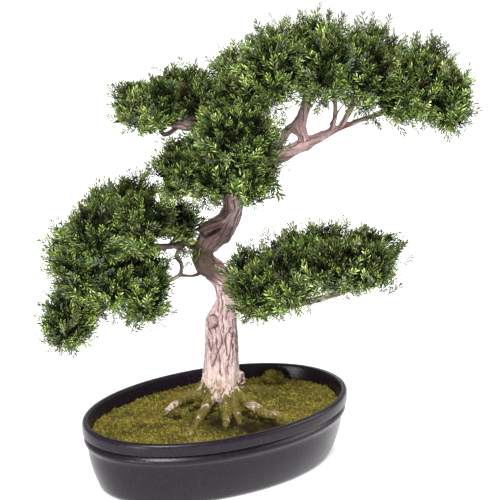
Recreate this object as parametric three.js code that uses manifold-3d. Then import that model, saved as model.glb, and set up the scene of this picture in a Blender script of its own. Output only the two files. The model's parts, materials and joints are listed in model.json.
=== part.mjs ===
// A cedar bonsai standing in an oval pot. Millimetres, +Z up.
// The origin is the middle of the pot's flat underside and +X runs along the pot's long axis.
import * as THREE from 'three';
import { mergeVertices } from 'three/addons/utils/BufferGeometryUtils.js';
import Module from 'manifold-3d';

const wasm = await Module();
wasm.setup();

// Pot
const POT_LENGTH = 340;
const POT_WIDTH = 218;
const POT_HEIGHT = 82;
const POT_FLOOR = 6;
const POT_SIDES = 36;
const OVAL_POWER = 2.04;

// What fills the pot
const SOIL_TOP = 56;
const MOSS_EDGE = 65.5;
const CLEARANCE = 0.35;

// The tree is described by [across, deep, up]: across runs along the tree's widest spread,
// deep runs to its back, and the spread stands turned from the pot's long axis.
const TREE_TURN = THREE.MathUtils.degToRad(-34);
const UP = new THREE.Vector3(0, 0, 1);
const TRUNK_FOOT = [6, 55];

// Each limb is a list of [across, deep, up, radius] from its root to its tip.
const TRUNK = [
  [4, 55, 46, 21], [3, 55, 62, 26], [2.5, 55, 71, 25], [3, 54.5, 83, 22.8], [3.5, 54, 98, 21.2],
  [4.5, 54, 115, 20.2], [4.7, 53, 134, 19.8], [4.7, 53, 159, 19], [7, 51, 177, 14.8], [9.5, 49, 191, 11.2],
  [9.5, 48, 203, 11], [6, 46, 217, 12.3], [-3, 42, 229, 13.6], [-12, 40, 238, 13.2], [-16.5, 39, 248, 12],
  [-14.5, 40, 258, 12.5], [-7, 42, 268, 15.6], [3, 46, 278, 17], [13, 52, 288, 13.6], [18.5, 57, 300, 11.8],
  [17.5, 60, 314, 11.3], [18, 61, 331, 10.4],
];
const LIMBS = {
  right: [
    [18, 61, 326, 10], [30, 63, 344, 9.5], [51, 66, 353, 9], [74, 69, 361, 8.5], [100, 71, 373, 8],
    [120, 73, 382, 6.2], [134, 75, 388.5, 4.2], [154, 77, 396, 3.2], [168, 80, 401, 3], [195, 85, 408, 3],
    [219, 89, 411, 2.9], [248, 93, 411, 2.6],
  ],
  crown: [
    [101, 71, 372, 7], [99.5, 71, 384, 6.6], [94.5, 71, 395, 9.4], [98.5, 71, 405, 6.8],
    [102.5, 70, 420, 6.2], [104, 69, 431, 4.6], [106, 68, 448, 3.6],
  ],
  crown_elbow: [[93, 71, 396, 6], [83, 71, 391, 5.6], [77, 70, 382, 5], [70, 69, 373, 5], [58, 67, 364, 5.5]],
  crown_left: [[104, 69, 430, 3.2], [92, 71, 440, 2.8], [72, 72, 447, 2.6], [50, 72, 449, 2.4]],
  crown_right: [[130, 75, 385, 4], [135, 74, 398, 3.1], [137, 73, 410, 2.9], [136, 70, 434, 2.6]],
  crown_far: [
    [142, 76, 390, 4.2], [147, 77, 399, 3.8], [152, 78, 409, 3.8], [157, 79, 419, 3.5], [166, 82, 438, 2.8],
  ],
  upper_left: [
    [17, 61, 327, 9.5], [8, 67, 356, 8.5], [0, 71, 378, 8], [-16, 75, 392, 8], [-40, 79, 395, 6.5],
    [-58, 81, 399, 4.6], [-72, 81, 407, 3.4], [-88, 81, 415, 2.8],
  ],
  middle: [[18, 59, 314, 8], [15, 41, 330, 6.5], [9, 21, 344, 5], [0, 5, 354, 4], [-14, -2, 358, 3.2]],
  left: [
    [-13, 41, 254, 8], [-27, 37, 262.5, 6], [-38, 35, 266, 4.8], [-48, 33, 263, 4.3], [-63, 30, 262, 4],
    [-76, 27, 263, 4], [-92, 25, 252, 3.9], [-108, 24, 223, 3.6], [-124, 23, 196, 3.2], [-138, 23, 183, 3],
    [-154, 23, 168, 2.6],
  ],
  left_drop: [
    [-38, 34.5, 264, 3.4], [-46.5, 34, 250, 2.9], [-41.5, 33.5, 240, 2.6], [-43, 33, 228, 2.6],
    [-54, 31, 221, 2.6], [-76, 27, 216, 2.4],
  ],
  left_strut: [[-14, 41, 231, 3], [-26, 37, 225, 2], [-42, 34, 226, 2]],
  low_right: [
    [9, 48, 200, 9], [21, 37, 192, 7], [38, 18, 187, 6], [56, 3, 191, 5], [82, -5, 201, 4.4],
    [132, -7, 215, 3.8], [158, -9, 226, 3.4], [184, -10, 243, 2.8],
  ],
};
const TRUNK_SIDES = 15;
const TRUNK_RINGS = 28;
const BARK_DEPTH = 0.06;

// Cut branch collars and a burr on the trunk: where each starts, where it ends and its radius
const KNOTS = [
  { from: [2, 48, 166], to: [-8, 35.5, 168], radius: 6.5 },
  { from: [11, 50, 152], to: [20, 39.5, 153], radius: 5.5 },
  { from: [16, 54, 84], to: [31.5, 53, 93], radius: 5.2 },
];

// Roots that run out over the ground, from the trunk to where they dive into it
const ROOTS = [
  [[0, 52, 80, 9], [-22, 48, 73, 8], [-38, 40, 70, 6], [-53, 15, 69, 5], [-70, -5, 62, 3]],
  [[2, 46, 80, 9], [-9, 22, 74, 7.5], [-15, 0, 70.5, 5.8], [-22, -30, 69, 4.5], [-31, -60, 62, 3]],
  [[6, 44, 80, 9], [8, 20, 74, 8], [11, -12, 69, 6], [9, -44, 62, 3]],
  [[13, 46, 80, 9], [20, 16, 71, 7], [27, -22, 62, 3.5]],
  [
    [15, 50, 80, 9], [31, 30, 72, 7], [43, 9, 71.5, 6.5], [56, -8, 69.5, 5.5], [74, -16, 69, 4.5],
    [90, -24, 62, 3],
  ],
  [[14, 58, 80, 9], [36, 64, 71, 6.5], [58, 68, 68, 5], [80, 66, 62, 3]],
  [[0, 62, 80, 9], [-14, 68, 70, 6], [-30, 74, 62, 3.5]],
];
const MOSS_TUMP = { at: [66, 103, 71], radius: 10 };

// Each cloud of foliage hangs on one or more limbs. A lobe is [across, up, half width, half height].
// Where the cloud has two rows, every lobe holds a front and a back tuft, a little aside of one another.
const CLOUDS = [
  { name: 'crown', limbs: ['crown', 'crown_left', 'crown_right', 'crown_far'], deep: 70, reach: 42, rows: 2,
    lobes: [[28, 448, 38, 36], [69, 470, 45, 45], [121, 473, 46, 49], [172, 467, 45, 47]] },
  { name: 'right', limbs: ['right'], deep: 88, reach: 36, rows: 2,
    lobes: [[207, 443, 38, 44], [238, 444, 38, 46], [263, 432, 32, 42]] },
  { name: 'upper_left', limbs: ['upper_left'], deep: 80, reach: 34, rows: 2,
    lobes: [[-90, 417, 34, 27], [-58, 424, 36, 34], [-24, 426, 36, 36]] },
  { name: 'middle', limbs: ['middle', 'upper_left'], deep: 8, reach: 38, rows: 2,
    lobes: [[20, 406, 52, 40], [-38, 364, 38, 31], [-2, 362, 40, 34], [38, 358, 36, 32]] },
  { name: 'left', limbs: ['left', 'left_drop'], deep: 25, reach: 40, rows: 2,
    lobes: [
      [-90, 304, 42, 40], [-130, 291, 42, 41], [-157, 249, 42, 40], [-112, 236, 40, 39], [-85, 219, 36, 39],
      [-167, 188, 36, 40],
    ] },
  { name: 'inner', limbs: ['left'], deep: 42, reach: 34, rows: 1, lobes: [[-44, 290, 30, 30]] },
  { name: 'low_right', limbs: ['low_right'], deep: -7, reach: 38, rows: 2,
    lobes: [[46, 232, 37, 36], [88, 249, 44, 41], [132, 262, 44, 36], [171, 262, 41, 30]] },
];
const ROW_DEPTH = 0.88;
const ROW_SHIFT = 0.12;
const TWIG_RADIUS = 2.6;
const TWIG_DEPTH = 0.25;
const SEED = 20;

// A tuft has a twenty-sided heart, a share of its size, with forked sprigs on the sides that face up or out.
// A sprig is drawn a unit from the tuft's middle to its outermost tips: [sideways, outwards, thick].
const HEART_SHARE = 0.6;
const BARE_BELOW = -0.62;
const SHORTEST_SPRIG = 0.5;
const SPRIG_STEM = [[0, 0.66, -0.08], [0.19, 0.66, 0.05], [-0.19, 0.66, 0.05]];
const SPRIG_CROTCH = [0, 0.77, -0.02];
const SPRIG_TIPS = [[0.37, 0.98, -0.04], [0.02, 1.1, 0.02], [-0.34, 1.02, 0]];

const bark = new THREE.MeshStandardMaterial({ color: 0xb59c90, roughness: 0.85, metalness: 0 });
const foliage = new THREE.MeshStandardMaterial({ color: 0x3f6b22, roughness: 0.7, metalness: 0 });
const mossy = new THREE.MeshStandardMaterial({ color: 0x6f6a20, roughness: 1, metalness: 0 });
const earth = new THREE.MeshStandardMaterial({ color: 0x3a2c20, roughness: 1, metalness: 0 });
const potPlastic = new THREE.MeshStandardMaterial({ color: 0x2f2a33, roughness: 0.45, metalness: 0 });

// Seeded random numbers from 0 to 1
let state = SEED;
function random() {
  state = (state + 0x6d2b79f5) | 0;
  let t = Math.imul(state ^ (state >>> 15), 1 | state);
  t = (t + Math.imul(t ^ (t >>> 7), 61 | t)) ^ t;
  return ((t ^ (t >>> 14)) >>> 0) / 4294967296;
}

// A point given as across, deep, up, in the pot's own axes
function place(across, deep, up) {
  return new THREE.Vector3(across, deep, up).applyAxisAngle(UP, TREE_TURN);
}

function solidOf(geometry) {
  geometry.deleteAttribute('normal');
  geometry.deleteAttribute('uv');
  const merged = mergeVertices(geometry, 1e-3);
  const vertProperties = new Float32Array(merged.attributes.position.array);
  const triVerts = new Uint32Array(merged.index.array);
  return new wasm.Manifold(new wasm.Mesh({ numProp: 3, vertProperties, triVerts }));
}

function geometryOf(solid) {
  const { vertProperties, triVerts } = solid.getMesh();
  const geometry = new THREE.BufferGeometry();
  geometry.setAttribute('position', new THREE.BufferAttribute(vertProperties, 3));
  geometry.setIndex(new THREE.BufferAttribute(triVerts, 1));
  return geometry;
}

// The largest connected body of a solid, without any loose scraps
function mainBody(solid) {
  return solid.decompose().reduce((best, body) => (body.volume() > best.volume() ? body : best));
}

function moveVertices(geometry, move) {
  const position = geometry.attributes.position;
  const point = new THREE.Vector3();
  for (let i = 0; i < position.count; i++) {
    point.fromBufferAttribute(position, i);
    move(point);
    position.setXYZ(i, point.x, point.y, point.z);
  }
  return geometry;
}

// Stations of a limb, [across, deep, up, radius], as points in the pot's own axes
function stationsOf(list) {
  return list.map(([across, deep, up, radius]) => ({ at: place(across, deep, up), radius }));
}

// Rings along a limb: the middle, radius and two cross directions of each
function ringsAlong(stations, count) {
  const path = new THREE.CatmullRomCurve3(stations.map(({ at }) => at), false, 'centripetal');
  const widths = new THREE.SplineCurve(stations.map(({ radius }, i) => new THREE.Vector2(i, radius)));
  const rings = [];
  const side = new THREE.Vector3(1, 0, 0);
  let before = null;
  for (let i = 0; i <= count; i++) {
    const t = i / count;
    const tangent = path.getTangent(t);
    if (before) side.applyQuaternion(new THREE.Quaternion().setFromUnitVectors(before, tangent));
    side.addScaledVector(tangent, -side.dot(tangent)).normalize();
    before = tangent;
    rings.push({
      t,
      tangent,
      middle: path.getPoint(t),
      radius: widths.getPoint(t).y,
      side: side.clone(),
      other: new THREE.Vector3().crossVectors(side, tangent),
    });
  }
  return rings;
}

// A tapered round limb, or with relief(angle, t) a fluted one, grown outwards by extra
function limb(stations, sides, count, extra = 0, relief = () => 0) {
  const rings = ringsAlong(stations, count);
  const geometry = new THREE.CylinderGeometry(1, 1, 1, sides, count);
  return solidOf(moveVertices(geometry, (point) => {
    const ring = rings[Math.round((0.5 + point.y) * count)];
    const angle = Math.atan2(point.z, point.x);
    const reach = Math.hypot(point.x, point.z) * (ring.radius * (1 + relief(angle, ring.t)) + extra);
    const end = ring.t === 0 ? -extra : ring.t === 1 ? extra : 0;
    point.copy(ring.middle)
      .addScaledVector(ring.side, Math.cos(angle) * reach)
      .addScaledVector(ring.other, Math.sin(angle) * reach)
      .addScaledVector(ring.tangent, end);
  }));
}

// Long ridges and furrows that wander round the trunk and twist as it climbs
function barkRelief(angle, t) {
  const twist = 2.2 * t;
  const ridges = Math.cos(9 * angle + 3 * twist) + 0.7 * Math.cos(5 * angle - twist + 4 * Math.sin(6 * t));
  return BARK_DEPTH * ridges * (1 - 0.4 * t);
}

// Tufts of foliage: one or two for each lobe of each cloud
function planTufts() {
  const tufts = [];
  for (const cloud of CLOUDS) {
    const rows = cloud.rows === 2 ? [['_front', -1], ['_back', 1]] : [['', 0]];
    cloud.lobes.forEach(([across, up, halfWidth, halfHeight], lobe) => {
      for (const [part, way] of rows) {
        const shift = ROW_SHIFT * halfWidth * way * (lobe % 2 ? 1 : -1);
        tufts.push({
          name: `foliage_${cloud.name}_${lobe + 1}${part}`,
          limbs: cloud.limbs,
          centre: place(across + shift, cloud.deep + ROW_DEPTH * cloud.reach * way, up),
          radii: new THREE.Vector3(halfWidth, cloud.reach, halfHeight),
        });
      }
    });
  }
  return tufts;
}

// A twig climbs from the nearest place on its cloud's limbs into the heart of the tuft
function twigStations(tuft) {
  const heart = tuft.centre.clone().setZ(tuft.centre.z - TWIG_DEPTH * tuft.radii.z);
  let from = null;
  for (const name of tuft.limbs) {
    for (const { middle, t } of ringsAlong(stationsOf(LIMBS[name]), 24)) {
      if (t > 0.25 && (!from || middle.distanceTo(heart) < from.distanceTo(heart))) from = middle;
    }
  }
  const bend = from.clone().lerp(heart, 0.55);
  bend.z = THREE.MathUtils.lerp(from.z, heart.z, 0.35);
  return [
    { at: from, radius: TWIG_RADIUS * 1.15 }, { at: bend, radius: TWIG_RADIUS * 0.9 },
    { at: heart, radius: TWIG_RADIUS * 0.7 },
  ];
}

function woodSolid(tufts, extra) {
  const parts = [limb(stationsOf(TRUNK), TRUNK_SIDES, TRUNK_RINGS, extra, barkRelief)];
  for (const [name, list] of Object.entries(LIMBS)) {
    const stout = name === 'right' || name === 'upper_left';
    parts.push(limb(stationsOf(list), stout ? 7 : 5, list.length, extra));
  }
  for (const { from, to, radius } of KNOTS) {
    parts.push(limb(stationsOf([[...from, radius * 1.2], [...to, radius]]), 8, 1, extra));
  }
  for (const list of ROOTS) parts.push(limb(stationsOf(list), 5, list.length, extra));
  for (const tuft of tufts) parts.push(limb(twigStations(tuft), 3, 2, extra));
  return wasm.Manifold.union(parts);
}

// The flat sides where a tuft meets its neighbours, so that no two tufts cross
function tuftCell(tuft, tufts) {
  const planes = [];
  for (const other of tufts) {
    if (other === tuft) continue;
    const way = other.centre.clone().sub(tuft.centre);
    const gap = way.length();
    way.normalize();
    const own = radiusTowards(tuft, way);
    const limit = (gap * own) / (own + radiusTowards(other, way)) - CLEARANCE;
    planes.push({ way, limit });
  }
  return planes;
}

// How far a tuft's ellipsoid reaches in a direction
function radiusTowards(tuft, way) {
  const local = way.clone().applyAxisAngle(UP, -TREE_TURN);
  return 1 / local.divide(tuft.radii).length();
}

// The share of an offset from the tuft's centre that stays inside its cell
function shareInside(offset, cell) {
  return cell.reduce((share, { way, limit }) => {
    const along = offset.dot(way);
    return along * share > limit ? limit / along : share;
  }, 1);
}

// How far a sprig may reach from its root before one of its tips leaves the cell, as a share of its length
function shareAlong(root, sprig, cell) {
  let share = 1;
  for (const { way, limit } of cell) {
    const start = root.dot(way);
    for (const offset of sprig) {
      const end = offset.dot(way);
      if (end > limit) share = Math.min(share, (limit - start) / (end - start));
    }
  }
  return share;
}

// No sprig leaves the cone of its own side of the heart, so the sprigs never touch one another.
function tuftGeometry(tuft, cell) {
  const shape = new THREE.IcosahedronGeometry(1, 0);
  shape.deleteAttribute('normal');
  shape.deleteAttribute('uv');
  const heart = mergeVertices(shape, 1e-3);
  heart.rotateX(6 * random()).rotateY(6 * random()).rotateZ(6 * random());
  const inTuft = (point) => point.clone().multiply(tuft.radii).applyAxisAngle(UP, TREE_TURN);

  const points = [];
  const keep = (offset) => points.push(offset.clone().add(tuft.centre)) - 1;
  for (let i = 0; i < heart.attributes.position.count; i++) {
    const corner = new THREE.Vector3().fromBufferAttribute(heart.attributes.position, i);
    const offset = inTuft(corner.multiplyScalar(HEART_SHARE + 0.1 * (random() - 0.5)));
    keep(offset.multiplyScalar(shareInside(offset, cell)));
  }

  const faces = [];
  const sides = heart.index.array;
  for (let i = 0; i < sides.length; i += 3) {
    const first = Math.floor(3 * random());
    const base = [0, 1, 2].map((k) => sides[i + ((k + first) % 3)]);
    const [a, b, c] = base.map((k) => new THREE.Vector3().fromBufferAttribute(heart.attributes.position, k));
    const out = a.clone().add(b).add(c).normalize();
    const thick = a.clone().addScaledVector(out, -a.dot(out)).normalize().negate();
    const across = new THREE.Vector3().crossVectors(thick, out);
    const size = 0.94 + 0.14 * random();
    const sprig = [...SPRIG_STEM, SPRIG_CROTCH, ...SPRIG_TIPS].map(([x, y, z]) => inTuft(
      new THREE.Vector3().addScaledVector(across, x).addScaledVector(out, y).addScaledVector(thick, z),
    ).multiplyScalar(size));
    const root = sprig[0].clone().add(sprig[1]).add(sprig[2]).divideScalar(3);
    const share = shareAlong(root, sprig, cell);
    if (out.z < BARE_BELOW || share < SHORTEST_SPRIG) {
      faces.push(...base);
      continue;
    }
    const stem = sprig.slice(0, 3).map((offset) => keep(offset));
    const [crotch, ...tips] = sprig.slice(3).map((offset) => keep(root.clone().lerp(offset, share)));
    for (let k = 0; k < 3; k++) {
      const next = (k + 1) % 3;
      faces.push(base[k], base[next], stem[next], base[k], stem[next], stem[k]);
      faces.push(stem[k], stem[next], tips[k], stem[next], crotch, tips[k], crotch, stem[k], tips[k]);
    }
  }
  const geometry = new THREE.BufferGeometry().setFromPoints(points);
  geometry.setIndex(faces);
  return geometry;
}

function tuftSolid(tuft, tufts, grownWood) {
  const cell = tuftCell(tuft, tufts);
  return mainBody(solidOf(tuftGeometry(tuft, cell)).subtract(grownWood));
}

// A closed oval form. Each ring is [half length, half width, height]; a middle point closes each end.
function oval(rings, bottom, top) {
  const levels = [[0, 0, bottom], ...rings, [0, 0, top]];
  const profile = levels.map(([halfLength], level) => new THREE.Vector2(halfLength ? 1 : 0, level));
  const round = (value) => Math.sign(value) * Math.abs(value) ** (2 / OVAL_POWER);
  return moveVertices(new THREE.LatheGeometry(profile, POT_SIDES), (point) => {
    const [halfLength, halfWidth, up] = levels[Math.round(point.y)];
    point.set(halfLength * round(point.z), halfWidth * round(point.x), up);
  });
}

// A ring a given distance in from the pot's outer edge
function inset(distance, up) {
  return [POT_LENGTH / 2 - distance, POT_WIDTH / 2 - distance, up];
}

// Up the outside from the foot to the rounded rim, then down the inside to the floor
function potSolid() {
  return solidOf(oval([
    inset(28, 0), inset(18.8, 4.5), inset(13.4, 17), inset(7.8, 36), inset(5, 50), inset(2.2, 60),
    inset(2.6, 66), inset(3, 67), inset(0, 68), inset(0, 77), inset(1.6, POT_HEIGHT - 1.2),
    inset(4.5, POT_HEIGHT), inset(7.6, POT_HEIGHT - 2), inset(8.8, 68), inset(11, 45), inset(17, 22),
    inset(34, POT_FLOOR),
  ], 0, POT_FLOOR));
}

function soilSolid(grownWood) {
  const gap = CLEARANCE;
  const floor = POT_FLOOR + gap;
  const soil = solidOf(oval([
    inset(34.5 + gap, floor), inset(17.4 + gap, 22 + gap), inset(11 + gap, 45), inset(10.4 + gap, SOIL_TOP),
  ], floor, SOIL_TOP));
  return mainBody(soil.subtract(grownWood));
}

// Height of the moss: a low mound round the trunk, a bank along each root and slow swells
function mossHeight(x, y) {
  const foot = place(...TRUNK_FOOT, 0);
  let height = MOSS_EDGE + 4 * Math.exp(-((Math.hypot(x - foot.x, y - foot.y) / 42) ** 2));
  for (const root of ROOTS) {
    const banks = root.slice(1, -1).map(([across, deep]) => {
      const bank = place(across, deep, 0);
      return 2.2 * Math.exp(-((Math.hypot(x - bank.x, y - bank.y) / 14) ** 2));
    });
    height += Math.max(...banks);
  }
  return height + 0.8 * Math.sin(0.09 * x + 1) * Math.cos(0.11 * y);
}

function mossSolid(grownWood) {
  const bottom = SOIL_TOP + CLEARANCE;
  const [length, width] = inset(9.7 + CLEARANCE, 0);
  const rows = [1, 0.82, 0.58, 0.3].map((share) => [share * length, share * width, MOSS_EDGE]);
  const foot = place(...TRUNK_FOOT, 0);
  const geometry = oval([inset(10.4 + CLEARANCE, bottom), ...rows], bottom, MOSS_EDGE);
  moveVertices(geometry, (point) => {
    if (point.z < MOSS_EDGE) return;
    const inwards = 1 - Math.hypot(point.x / length, point.y / width);
    point.x += 0.9 * foot.x * Math.max(0, inwards);
    point.y += 0.9 * foot.y * Math.max(0, inwards);
    point.z = mossHeight(point.x, point.y);
  });
  const tump = new THREE.IcosahedronGeometry(MOSS_TUMP.radius, 1);
  const at = place(...MOSS_TUMP.at);
  tump.translate(at.x, at.y, at.z);
  const moss = solidOf(geometry).add(solidOf(tump));
  return mainBody(moss.subtract(grownWood));
}

const bonsai = new THREE.Group();
function add(name, solid, material) {
  const mesh = new THREE.Mesh(geometryOf(solid), material);
  mesh.name = name;
  bonsai.add(mesh);
}

const tufts = planTufts();
const grownWood = woodSolid(tufts, 1.4 * CLEARANCE);
add('pot', potSolid(), potPlastic);
add('soil', soilSolid(grownWood), earth);
add('moss', mossSolid(grownWood), mossy);
add('wood', mainBody(woodSolid(tufts, 0)), bark);
for (const tuft of tufts) add(tuft.name, tuftSolid(tuft, tufts, grownWood), foliage);

export default bonsai;
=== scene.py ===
"""A cedar bonsai in an oval pot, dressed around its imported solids.

Tables are in millimetres. The tree's own are [across, deep, up]: across runs along its widest spread and
deep to its back, and the spread stands turned from the pot's long axis.
"""

import json
import math

import bmesh
import bpy
import numpy as np
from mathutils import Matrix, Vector

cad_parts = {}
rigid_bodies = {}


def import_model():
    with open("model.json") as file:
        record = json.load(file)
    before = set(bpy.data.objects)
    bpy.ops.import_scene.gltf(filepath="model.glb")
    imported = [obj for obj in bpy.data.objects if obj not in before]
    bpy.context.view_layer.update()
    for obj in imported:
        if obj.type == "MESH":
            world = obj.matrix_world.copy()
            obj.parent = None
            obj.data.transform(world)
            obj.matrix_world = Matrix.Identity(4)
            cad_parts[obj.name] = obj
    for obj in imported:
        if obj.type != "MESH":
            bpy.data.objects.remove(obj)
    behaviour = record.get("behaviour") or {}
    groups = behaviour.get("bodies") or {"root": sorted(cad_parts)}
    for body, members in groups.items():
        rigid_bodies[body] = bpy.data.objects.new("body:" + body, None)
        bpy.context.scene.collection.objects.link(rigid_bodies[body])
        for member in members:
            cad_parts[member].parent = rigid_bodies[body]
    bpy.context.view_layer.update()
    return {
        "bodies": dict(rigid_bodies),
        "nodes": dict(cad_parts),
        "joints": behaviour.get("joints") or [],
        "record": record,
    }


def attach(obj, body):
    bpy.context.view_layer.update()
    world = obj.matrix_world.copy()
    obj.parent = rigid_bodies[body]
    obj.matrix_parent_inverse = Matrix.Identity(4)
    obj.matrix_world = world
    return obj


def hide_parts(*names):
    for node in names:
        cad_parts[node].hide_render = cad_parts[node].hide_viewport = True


MM = 0.001
SEED = 41
BODY = "root"

# Pot
POT_LENGTH = 340.0
POT_WIDTH = 218.0
OVAL_POWER = 2.04
POT_SEGMENTS = 176
# Up the outside from the foot to the rim, then down the inside to the floor: [in from the edge, height]
POT_PROFILE = [
    [70, 1.2], [34, 1.2], [31, 0.3], [28, 0.0], [25, 0.2], [22.4, 1.2], [20.4, 2.8], [18.8, 5.0],
    [17.1, 8.5], [15.4, 12.5], [13.6, 17.0], [11.6, 23.0], [9.7, 29.5], [8.1, 36.0], [7.0, 42.0],
    [6.1, 48.0], [5.5, 51.5], [4.8, 53.8], [3.7, 55.4], [2.6, 56.6], [1.9, 58.0], [1.7, 59.2],
    [1.9, 60.4], [2.4, 61.5], [3.2, 62.7], [4.1, 63.9], [5.0, 65.1], [5.6, 66.1], [5.7, 66.8],
    [4.9, 67.3], [1.6, 67.6], [0.5, 68.0], [0.1, 68.7], [0, 70.0], [0, 76.2], [0.2, 78.2], [0.8, 79.9],
    [1.9, 81.2], [3.2, 81.9], [4.5, 82.0], [5.8, 81.7], [6.9, 80.9], [7.5, 79.6], [8.1, 77.0],
    [9.6, 69.5], [11.2, 61.0], [13, 45.0], [17.5, 22.0], [34, 6.0], [70, 6.0],
]

# What fills the pot
# Moss: its heights on the soil, at the pot's edge and on the trunk, its inset, and how fine it is
MOSS_BOTTOM = 56.35
MOSS_EDGE = 65.5
MOSS_TOP = 92.0
MOSS_INSET = 9.5
MOSS_RINGS = 74
MOSS_SEGMENTS = 300
MOSS_BLADES = 24000
ROOT_BLADES = 4500
# Hollows beside the roots, sunk and darkened as painted shade, and wide places with painted shade only:
# [across, deep, radius, depth, darkness]
HOLLOWS = [
    [-33, 39, 8, 5, 1], [-47, -7, 8, 4, 1], [-17, -12, 8, 5.5, 1], [1, -23, 7, 5.5, 1],
    [22, -26, 8, 5, 1], [59, -20, 9, 5, 1], [77, -31, 8, 4.5, 1], [41, -49, 9, 4, 0.8], [-6, 6, 6, 5, 1],
    [21, 0, 6, 5, 1], [34, 6, 6, 4.5, 1], [-28, 12, 7, 4.5, 1], [68, -26, 7, 4.5, 1],
    [90, -36, 7, 3, 0.8], [-40, 24, 7, 4, 1], [38, -4, 6, 5.5, 1], [46, -12, 7, 5.5, 1],
    [56, -16, 6, 5, 1], [-24, 24, 6, 4, 1], [-14, 34, 6, 3, 0.9], [9, -10, 5, 4, 1], [-64, -2, 6, 3, 0.8],
    [50, -10, 6, 4, 1], [8, -28, 36, 0, 0.72], [62, -38, 30, 0, 0.66], [-30, -16, 26, 0, 0.34],
    [38, -40, 34, 0, 0.66], [22, -8, 6, 5, 1],
]
# A fuzzy tump near the back wall: its middle, and its radii along the pot's axes
TUMP = [66, 103, 71]
TUMP_RADII = np.array([12.0, 10.0, 6.6])
TUMP_BLADES = 1100

# The tree
TREE_TURN = math.radians(-34)
TRUNK_FOOT = [6, 55]
TRUNK = [
    [4, 55, 46, 21], [3, 55, 62, 26], [2.5, 55, 71, 25], [3, 54.5, 83, 22.8], [3.5, 54, 98, 21.2],
    [4.5, 54, 115, 20.2], [4.7, 53, 134, 19.8], [4.7, 53, 159, 19], [7, 51, 177, 14.8],
    [9.5, 49, 191, 11.2], [9.5, 48, 203, 11], [6, 46, 217, 12.3], [-3, 42, 229, 13.6],
    [-12, 40, 238, 13.2], [-16.5, 39, 248, 12], [-14.5, 40, 258, 12.5], [-7, 42, 268, 15.6],
    [3, 46, 278, 17], [13, 52, 288, 13.6], [18.5, 57, 300, 11.8], [17.5, 60, 314, 11.3],
    [18, 61, 331, 10.4],
]
# The upper strand of the fold, which lies over the trunk's elbow with a deep seam under it
FOLD = [[-20, 37, 279, 5], [-13, 34, 284, 6.5], [-3, 35, 287, 7.5], [7, 41, 291, 7], [14, 49, 297, 6]]
LIMBS = {
    "right": [
        [18, 61, 326, 10], [30, 63, 344, 9.5], [51, 66, 353, 9], [74, 69, 361, 8.5], [100, 71, 373, 8],
        [120, 73, 382, 6.2], [134, 75, 388.5, 4.2], [154, 77, 396, 3.2], [168, 80, 401, 3],
        [195, 85, 408, 3], [219, 89, 411, 2.9], [248, 93, 411, 2.6],
    ],
    "crown": [
        [101, 71, 372, 7], [99.5, 71, 384, 6.6], [94.5, 71, 395, 9.4], [98.5, 71, 405, 6.8],
        [102.5, 70, 420, 6.2], [104, 69, 431, 4.6], [106, 68, 448, 3.6],
    ],
    "crown_elbow": [
        [93, 71, 396, 6], [83, 71, 391, 5.6], [77, 70, 382, 5], [70, 69, 373, 5], [58, 67, 364, 5.5],
    ],
    "crown_left": [[104, 69, 430, 3.2], [92, 71, 440, 2.8], [72, 72, 447, 2.6], [50, 72, 449, 2.4]],
    "crown_right": [[130, 75, 385, 4], [135, 74, 398, 3.1], [137, 73, 410, 2.9], [136, 70, 434, 2.6]],
    "crown_far": [
        [142, 76, 390, 4.2], [147, 77, 399, 3.8], [152, 78, 409, 3.8], [157, 79, 419, 3.5],
        [166, 82, 438, 2.8],
    ],
    "upper_left": [
        [17, 61, 327, 9.5], [8, 67, 356, 8.5], [0, 71, 378, 8], [-16, 75, 392, 8], [-40, 79, 395, 6.5],
        [-58, 81, 399, 4.6], [-72, 81, 407, 3.4], [-88, 81, 415, 2.8],
    ],
    "upper_left_low": [
        [-8, 76, 409, 3.4], [-19, 78, 408, 3.4], [-31, 78, 404, 3.4], [-43, 78, 395, 3.4],
        [-54, 78, 386, 3.2], [-62, 78, 384, 3.0], [-66, 77, 389, 2.6],
    ],
    "middle": [[18, 59, 314, 8], [15, 41, 330, 6.5], [9, 21, 344, 5], [0, 5, 354, 4], [-14, -2, 358, 3.2]],
    "left": [
        [-13, 41, 254, 8], [-27, 37, 262.5, 6], [-38, 35, 266, 4.8], [-48, 33, 263, 4.3],
        [-63, 30, 262, 4], [-76, 27, 263, 4], [-92, 25, 252, 3.9], [-108, 24, 223, 3.6],
        [-124, 23, 196, 3.2], [-138, 23, 183, 3], [-154, 23, 168, 2.6],
    ],
    "left_drop": [
        [-38, 34.5, 264, 3.4], [-46.5, 34, 250, 2.9], [-41.5, 33.5, 240, 2.6], [-43, 33, 228, 2.6],
        [-54, 31, 221, 2.6], [-76, 27, 216, 2.4],
    ],
    "left_strut": [[-14, 41, 231, 3], [-26, 37, 225, 2], [-42, 34, 226, 2]],
    "low_right": [
        [9, 48, 200, 9], [21, 37, 192, 7], [38, 18, 187, 6], [56, 3, 191, 5], [82, -5, 201, 4.4],
        [132, -7, 215, 3.8], [158, -9, 226, 3.4], [184, -10, 243, 2.8],
    ],
}
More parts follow.
